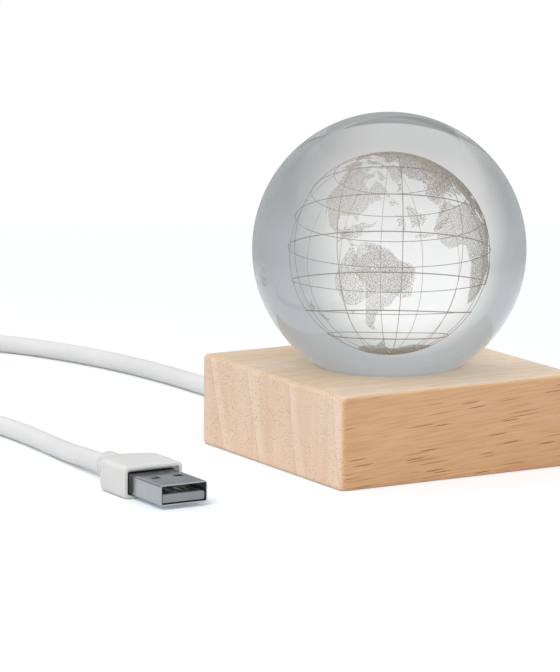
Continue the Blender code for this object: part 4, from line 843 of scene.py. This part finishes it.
# %% Rubberwood
GRAIN_SLOPE = math.radians(3.5)
FIBRE_WIDTH_MM = 0.35
FIBRE_LENGTH_MM = 11.0
CLOUD_WIDTH_MM = 9.0
CLOUD_LENGTH_MM = 160.0
CLOUD_HEIGHT_MM = 60.0
CROWD_LENGTH_MM = 60.0
CROWD_WIDTH_MM = 7.0
LAYER_MM = 18.0
LAYER_LINE_AT_MM = -13.5
LAYER_LEAN = math.radians(11)
PALE_SHARE = 0.6
LINE_SHARE = 0.22
PORE_DEPTH = 0.04 * MM
PAINTED_GLOW_IN_GLASS = 0.9

# Length and spacing in mm, half width as a share of the spacing, and the share of the cells used.
FINE_PORES = (20.0, 0.70, 0.28, 0.70)
WIDE_PORES = (17.0, 0.66, 0.20, 0.90)


def stretched(tree, place, along, across, upright=None):
    """Pattern coordinates with one unit for these lengths in millimetres."""
    scale = (1 / along, 1 / across, 1 / (upright or across))
    return add_node(tree, "VectorMath", {"operation": "MULTIPLY"}, i0=place, i1=scale).outputs[0]


def noise(tree, vector, **settings):
    """Soft noise with one unit for its scale."""
    return add_node(tree, "TexNoise", None, Vector=vector, Scale=1.0, **settings).outputs["Fac"]


def pore_marks(tree, grain, length, spacing, half_width, used):
    """Long thin pores, one in each chosen cell, in crowds with gaps between."""
    cells = add_node(tree, "TexVoronoi", None, Vector=stretched(tree, grain, length, spacing), Scale=1.0,
                     Randomness=1.0)
    inside = add_node(tree, "MapRange", {"interpolation_type": "SMOOTHSTEP"},
                      Value=cells.outputs["Distance"], From_Min=half_width / 2, From_Max=half_width,
                      To_Min=1.0, To_Max=0.0).outputs[0]
    pick = add_node(tree, "SeparateColor", None, Color=cells.outputs["Color"]).outputs[0]
    chosen = ramp_between(tree, pick, 0.95 - used, 1.05 - used)
    crowding = noise(tree, stretched(tree, grain, CROWD_LENGTH_MM, CROWD_WIDTH_MM))
    return fold(tree, "MULTIPLY", inside, chosen, ramp_between(tree, crowding, 0.32, 0.52))


def growth_layers(tree, grain):
    """The pale band and the thin dark line at the end of each growth layer."""
    leaning = add_node(tree, "Mapping", None, Vector=grain, Rotation=(LAYER_LEAN, 0, 0)).outputs[0]
    phase = -2 * math.pi * LAYER_LINE_AT_MM / LAYER_MM
    layers = add_node(tree, "TexWave",
                      {"wave_type": "BANDS", "bands_direction": "Y", "wave_profile": "SAW"},
                      Vector=leaning, Scale=2 * math.pi / (20 * LAYER_MM), Distortion=1.6, Detail=1.0,
                      Detail_Scale=1.4, Phase_Offset=phase).outputs["Fac"]
    pale = ramp_between(tree, layers, 0.74, 0.88)
    line = fold(tree, "MAXIMUM", ramp_between(tree, layers, 0.975, 0.99),
                add_node(tree, "MapRange", None, Value=layers, From_Min=0.0, From_Max=0.02, To_Min=0.8,
                         To_Max=0.0).outputs[0])
    return pale, line


def face_shares(tree):
    """How far a place faces sideways, along the grain, and how near it is to a rounded edge."""
    normal = add_node(tree, "NewGeometry").outputs["Normal"]
    facing = add_node(tree, "VectorMath", {"operation": "ABSOLUTE"}, i0=normal)
    facing = add_node(tree, "SeparateXYZ", None, Vector=facing.outputs[0])
    side = ramp_between(tree, facing.outputs["Y"], 0.5, 0.9)
    end = ramp_between(tree, facing.outputs["X"], 0.5, 0.9)
    edge = add_node(tree, "MapRange", None, Value=fold(tree, "MAXIMUM", *facing.outputs), From_Min=0.80,
                    From_Max=0.97, To_Min=0.4, To_Max=0.0).outputs[0]
    return side, end, edge


def sanded_rubberwood():
    """Pale wood: end grain with dots, long grain with dashes, eased edges a little warmer."""
    material, output = new_material("sanded_rubberwood")
    tree = material.node_tree
    where = add_node(tree, "TexCoord").outputs["Object"]
    grain = add_node(tree, "Mapping", None, Vector=where, Rotation=(0, GRAIN_SLOPE, 0),
                     Scale=(1 / MM, 1 / MM, 1 / MM)).outputs[0]
    side, end, edge = face_shares(tree)
    pale, line = growth_layers(tree, grain)
    cloud = noise(tree, stretched(tree, grain, CLOUD_LENGTH_MM, CLOUD_WIDTH_MM, CLOUD_HEIGHT_MM),
                  Detail=4.0, Roughness=0.55, Distortion=0.4)
    fibres = noise(tree, stretched(tree, grain, FIBRE_LENGTH_MM, FIBRE_WIDTH_MM), Detail=3.0)
    fine = pore_marks(tree, grain, *FINE_PORES)
    wide = pore_marks(tree, grain, *WIDE_PORES)

    band = ramp_between(tree, cloud, 0.32, 0.68)
    end_grain = blend(tree, band, "#EBCFB9", "#F4DFCB")
    end_grain = blend(tree, fold(tree, "MULTIPLY", pale, PALE_SHARE), end_grain, "#F8E6D5")
    long_grain = blend(tree, band, "#EDD3B6", "#F5E4D0")
    # The front and back faces and their pores are darker: partly their own colour, partly painted shade.
    side_grain_and_painted_shade = blend(tree, band, "#D3A175", "#E1B78D")
    colour = blend(tree, side, blend(tree, end, long_grain, end_grain), side_grain_and_painted_shade)
    fibre = ramp_between(tree, fibres, 0.35, 0.75)
    colour = add_node(tree, "Mix", {"data_type": "RGBA", "blend_type": "MULTIPLY"}, i0=fibre, i6=colour,
                      i7=linear("#F3E6D8")).outputs[2]
    fine_shade = blend(tree, side, blend(tree, end, "#D8AF8E", "#B87E5B"), "#AE7347")
    colour = blend(tree, fold(tree, "MULTIPLY", fine, 0.75), colour, fine_shade)
    wide_shade = blend(tree, side, blend(tree, end, "#DDB793", "#B07250"), "#874120")
    colour = blend(tree, fold(tree, "MULTIPLY", wide, 0.9), colour, wide_shade)
    colour = blend(tree, fold(tree, "MULTIPLY", line, end, LINE_SHARE), colour, "#C0906B")
    colour = blend(tree, edge, colour, "#E3B98C")

    pores = fold(tree, "MAXIMUM", fine, wide)
    bump = add_node(tree, "Bump", {"invert": True}, Height=pores, Strength=0.6, Distance=PORE_DEPTH)
    shine = add_node(tree, "MapRange", None, Value=fibres, To_Min=0.48, To_Max=0.62).outputs[0]
    wood = add_node(tree, "BsdfPrincipled", Base_Color=colour, Roughness=shine, IOR=1.5,
                    Normal=bump.outputs[0])
    # Seen through glass, the wood is mostly a flat painted grey glow.
    painted_grey_glow_in_glass = add_node(tree, "Emission", Color=linear("#A3A8AB"), Strength=1.0)
    path = add_node(tree, "LightPath").outputs["Is Transmission Ray"]
    final = add_node(tree, "MixShader", Fac=fold(tree, "MULTIPLY", path, PAINTED_GLOW_IN_GLASS),
                     i1=wood.outputs[0], i2=painted_grey_glow_in_glass.outputs[0])
    tree.links.new(final.outputs[0], output.inputs["Surface"])
    return material


dress("wooden_base", sanded_rubberwood())
print("pore spacing, mm:", FINE_PORES[1], "and", WIDE_PORES[1])


# %% [markdown]
# ## The lead and the plug's body
#
# Both are soft PVC. The jacket of the lead is extruded, which leaves it even and slightly glossy.
# The body of the plug is moulded over the end of the lead, in a mould whose walls were
# spark-eroded, so it has a fine matt grain. Light enters soft white PVC a little before it comes
# out again, and a touch of subsurface scattering gives the edges that softness.

# %% White PVC
SKIN_DEPTH = 1.0 * MM
TINT_MM = 14.0
JACKET_WAVE_MM = 3.0
MOULD_GRAIN_MM = 0.25


def white_pvc(name, colour, shadow, grain_mm, grain_depth, roughness):
    """Soft white PVC with a faint grain of this size and depth."""
    material, output = new_material(name)
    tree = material.node_tree
    where = add_node(tree, "TexCoord").outputs["Object"]
    grain = add_node(tree, "TexNoise", None, Vector=where, Scale=1 / (grain_mm * MM), Detail=2.0)
    cloud = add_node(tree, "TexNoise", None, Vector=where, Scale=1 / (TINT_MM * MM), Detail=3.0)
    tint = ramp_between(tree, cloud.outputs["Fac"], 0.35, 0.70)
    bump = add_node(tree, "Bump", None, Height=grain.outputs["Fac"], Strength=0.5, Distance=grain_depth)
    shine = add_node(tree, "MapRange", None, Value=grain.outputs["Fac"], To_Min=roughness - 0.06,
                     To_Max=roughness + 0.06).outputs[0]
    pvc = add_node(tree, "BsdfPrincipled", Base_Color=blend(tree, tint, shadow, colour), Roughness=shine,
                   IOR=1.53, Subsurface_Weight=0.2, Subsurface_Scale=SKIN_DEPTH,
                   Subsurface_Radius=(1.0, 0.95, 0.9), Normal=bump.outputs[0])
    tree.links.new(pvc.outputs[0], output.inputs["Surface"])
    return material


extruded_pvc = white_pvc("extruded_white_pvc", "#EBEBEB", "#E4E5E4", JACKET_WAVE_MM, 0.02 * MM, 0.42)
moulded_pvc = white_pvc("moulded_white_pvc", "#E3E3E2", "#DCDDDB", MOULD_GRAIN_MM, 0.01 * MM, 0.55)
usb_lead.data.materials.append(extruded_pvc)
for name in ("cord_inside", "cable_grommet"):
    dress(name, extruded_pvc)
dress("usb_overmould", moulded_pvc)
print("white PVC on the lead and on the plug's body")


# %% [markdown]
# ## The metal of the plug
#
# The shell is thin steel sheet, rolled, nickel plated, stamped and folded. Rolling leaves fine
# lines along the plug, which stretch the highlights across it. The contacts are gold plated.
# A metal has no colour under its reflection, so its base colour is the tint of the reflection.

# %% Plated metals
ROLLED_LINE_MM = 0.06
ROLLED_LINE_LENGTH_MM = 4.0
PLATING_CLOUD_MM = 2.5


def plated_metal(name, colour, dark, roughness, line_mm, line_length_mm):
    """Bright plating over sheet metal, with fine lines along Y from rolling."""
    material, output = new_material(name)
    tree = material.node_tree
    where = add_node(tree, "TexCoord").outputs["Object"]
    place = add_node(tree, "VectorMath", {"operation": "SCALE"}, i0=where, Scale=1 / MM).outputs[0]
    scale = (1 / line_mm, 1 / line_length_mm, 1 / line_mm)
    along = add_node(tree, "VectorMath", {"operation": "MULTIPLY"}, i0=place, i1=scale).outputs[0]
    lines = add_node(tree, "TexNoise", None, Vector=along, Scale=1.0, Detail=2.0).outputs["Fac"]
    cloud = add_node(tree, "TexNoise", None, Vector=place, Scale=1 / PLATING_CLOUD_MM,
                     Detail=3.0).outputs["Fac"]
    shine = add_node(tree, "MapRange", None, Value=lines, To_Min=roughness - 0.08,
                     To_Max=roughness + 0.08)
    bump = add_node(tree, "Bump", None, Height=lines, Strength=0.25, Distance=0.004 * MM)
    metal = add_node(tree, "BsdfPrincipled", Base_Color=blend(tree, cloud, dark, colour), Metallic=1.0,
                     Roughness=shine.outputs[0], Normal=bump.outputs[0])
    tree.links.new(metal.outputs[0], output.inputs["Surface"])
    return material


dress("usb_shell", plated_metal("nickel_plated_sheet_steel", "#B1B4B5", "#A3A7A9", 0.22,
                                ROLLED_LINE_MM, ROLLED_LINE_LENGTH_MM))
gold_plate = plated_metal("gold_flash_on_nickel_strip", "#F1EDE4", "#E0D9CA", 0.40, 0.05, 2.0)
zinc_plate = plated_metal("zinc_plated_screw_steel", "#BFC1BE", "#9FA29F", 0.35, 0.10, 0.10)
for name in CONTACTS:
    dress(name, gold_plate)
for name in nodes:
    if "_screw_" in name:
        dress(name, zinc_plate)
print("metals on the shell, the contacts and the screws")


# %% [markdown]
# ## Plastics, foam and the small parts inside
#
# Most of the other pieces are moulded plastic, which differs by colour, gloss and the grain of the
# mould. The diffuser is acrylic frosted with small air pockets. The foam pad under the cover is
# closed-cell rubber foam, cut from a sheet, so its face is full of opened bubbles.

# %% Moulded plastics
FAINT_GRAIN = 0.01 * MM
MOTTLE_MM = 6.0


def moulded_plastic(name, colour, second, grain_mm, roughness, grain_depth=FAINT_GRAIN, **extra):
    """A plastic with a moulded grain of this size and depth."""
    material, output = new_material(name)
    tree = material.node_tree
    where = add_node(tree, "TexCoord").outputs["Object"]
    grain = add_node(tree, "TexVoronoi", {"feature": "SMOOTH_F1"}, Vector=where,
                     Scale=1 / (grain_mm * MM))
    cloud = add_node(tree, "TexNoise", None, Vector=where, Scale=1 / (MOTTLE_MM * MM), Detail=2.0)
    bump = add_node(tree, "Bump", None, Height=grain.outputs["Distance"], Strength=0.5,
                    Distance=grain_depth)
    shine = add_node(tree, "MapRange", None, Value=cloud.outputs["Fac"], To_Min=roughness - 0.05,
                     To_Max=roughness + 0.05)
    plastic = add_node(tree, "BsdfPrincipled", Roughness=shine.outputs[0], Normal=bump.outputs[0],
                       Base_Color=blend(tree, cloud.outputs["Fac"], second, colour), **extra)
    tree.links.new(plastic.outputs[0], output.inputs["Surface"])
    return material


SMALL_PARTS = {
    ("usb_tongue",): moulded_plastic("moulded_grey_tongue", "#9A9DA0", "#8E9194", 0.2, 0.45, 0.005 * MM),
    ("diffuser_disc",): moulded_plastic("frosted_acrylic", "#F2F3F1", "#ECEDEB", 0.3, 0.6,
                                        Subsurface_Weight=0.4, Subsurface_Scale=2 * MM),
    ("reflector_ring",): moulded_plastic("moulded_white_abs", "#EEF0EF", "#E6E8E7", 0.25, 0.4),
    ("led_board",): moulded_plastic("white_solder_mask", "#E9EBE6", "#DFE2DC", 0.5, 0.25),
    tuple(f"led_chip_{k}" for k in range(1, 6)):
        moulded_plastic("resin_over_phosphor", "#EEDD7A", "#E6D06A", 0.2, 0.2),
    ("led_resistor_1", "led_resistor_2"): moulded_plastic("ceramic_chip", "#202020", "#151515", 0.15, 0.5),
    ("lead_red",): moulded_plastic("red_pvc_insulation", "#C02A28", "#B02422", 1.0, 0.4),
    ("lead_black",): moulded_plastic("black_pvc_insulation", "#1C1C1D", "#141415", 1.0, 0.4),
    ("cable_tie",): moulded_plastic("natural_nylon", "#EDEAE0", "#E4E0D4", 0.3, 0.4,
                                    Subsurface_Weight=0.3, Subsurface_Scale=1 * MM),
    ("bottom_cover",): moulded_plastic("textured_black_abs", "#1E1E1F", "#161617", 0.45, 0.55, 0.04 * MM),
    ("anti_slip_pad",): moulded_plastic("closed_cell_foam", "#232324", "#161616", 0.35, 0.9, 0.15 * MM),
    ("coil_tie",): moulded_plastic("white_hook_and_loop_strap", "#E4E5E4", "#D8DAD9", 0.3, 0.85, 0.12 * MM,
                                   Sheen_Weight=0.4),
}
for names, material in SMALL_PARTS.items():
    for name in names:
        dress(name, material)
print("small parts dressed:", sum(len(names) for names in SMALL_PARTS))
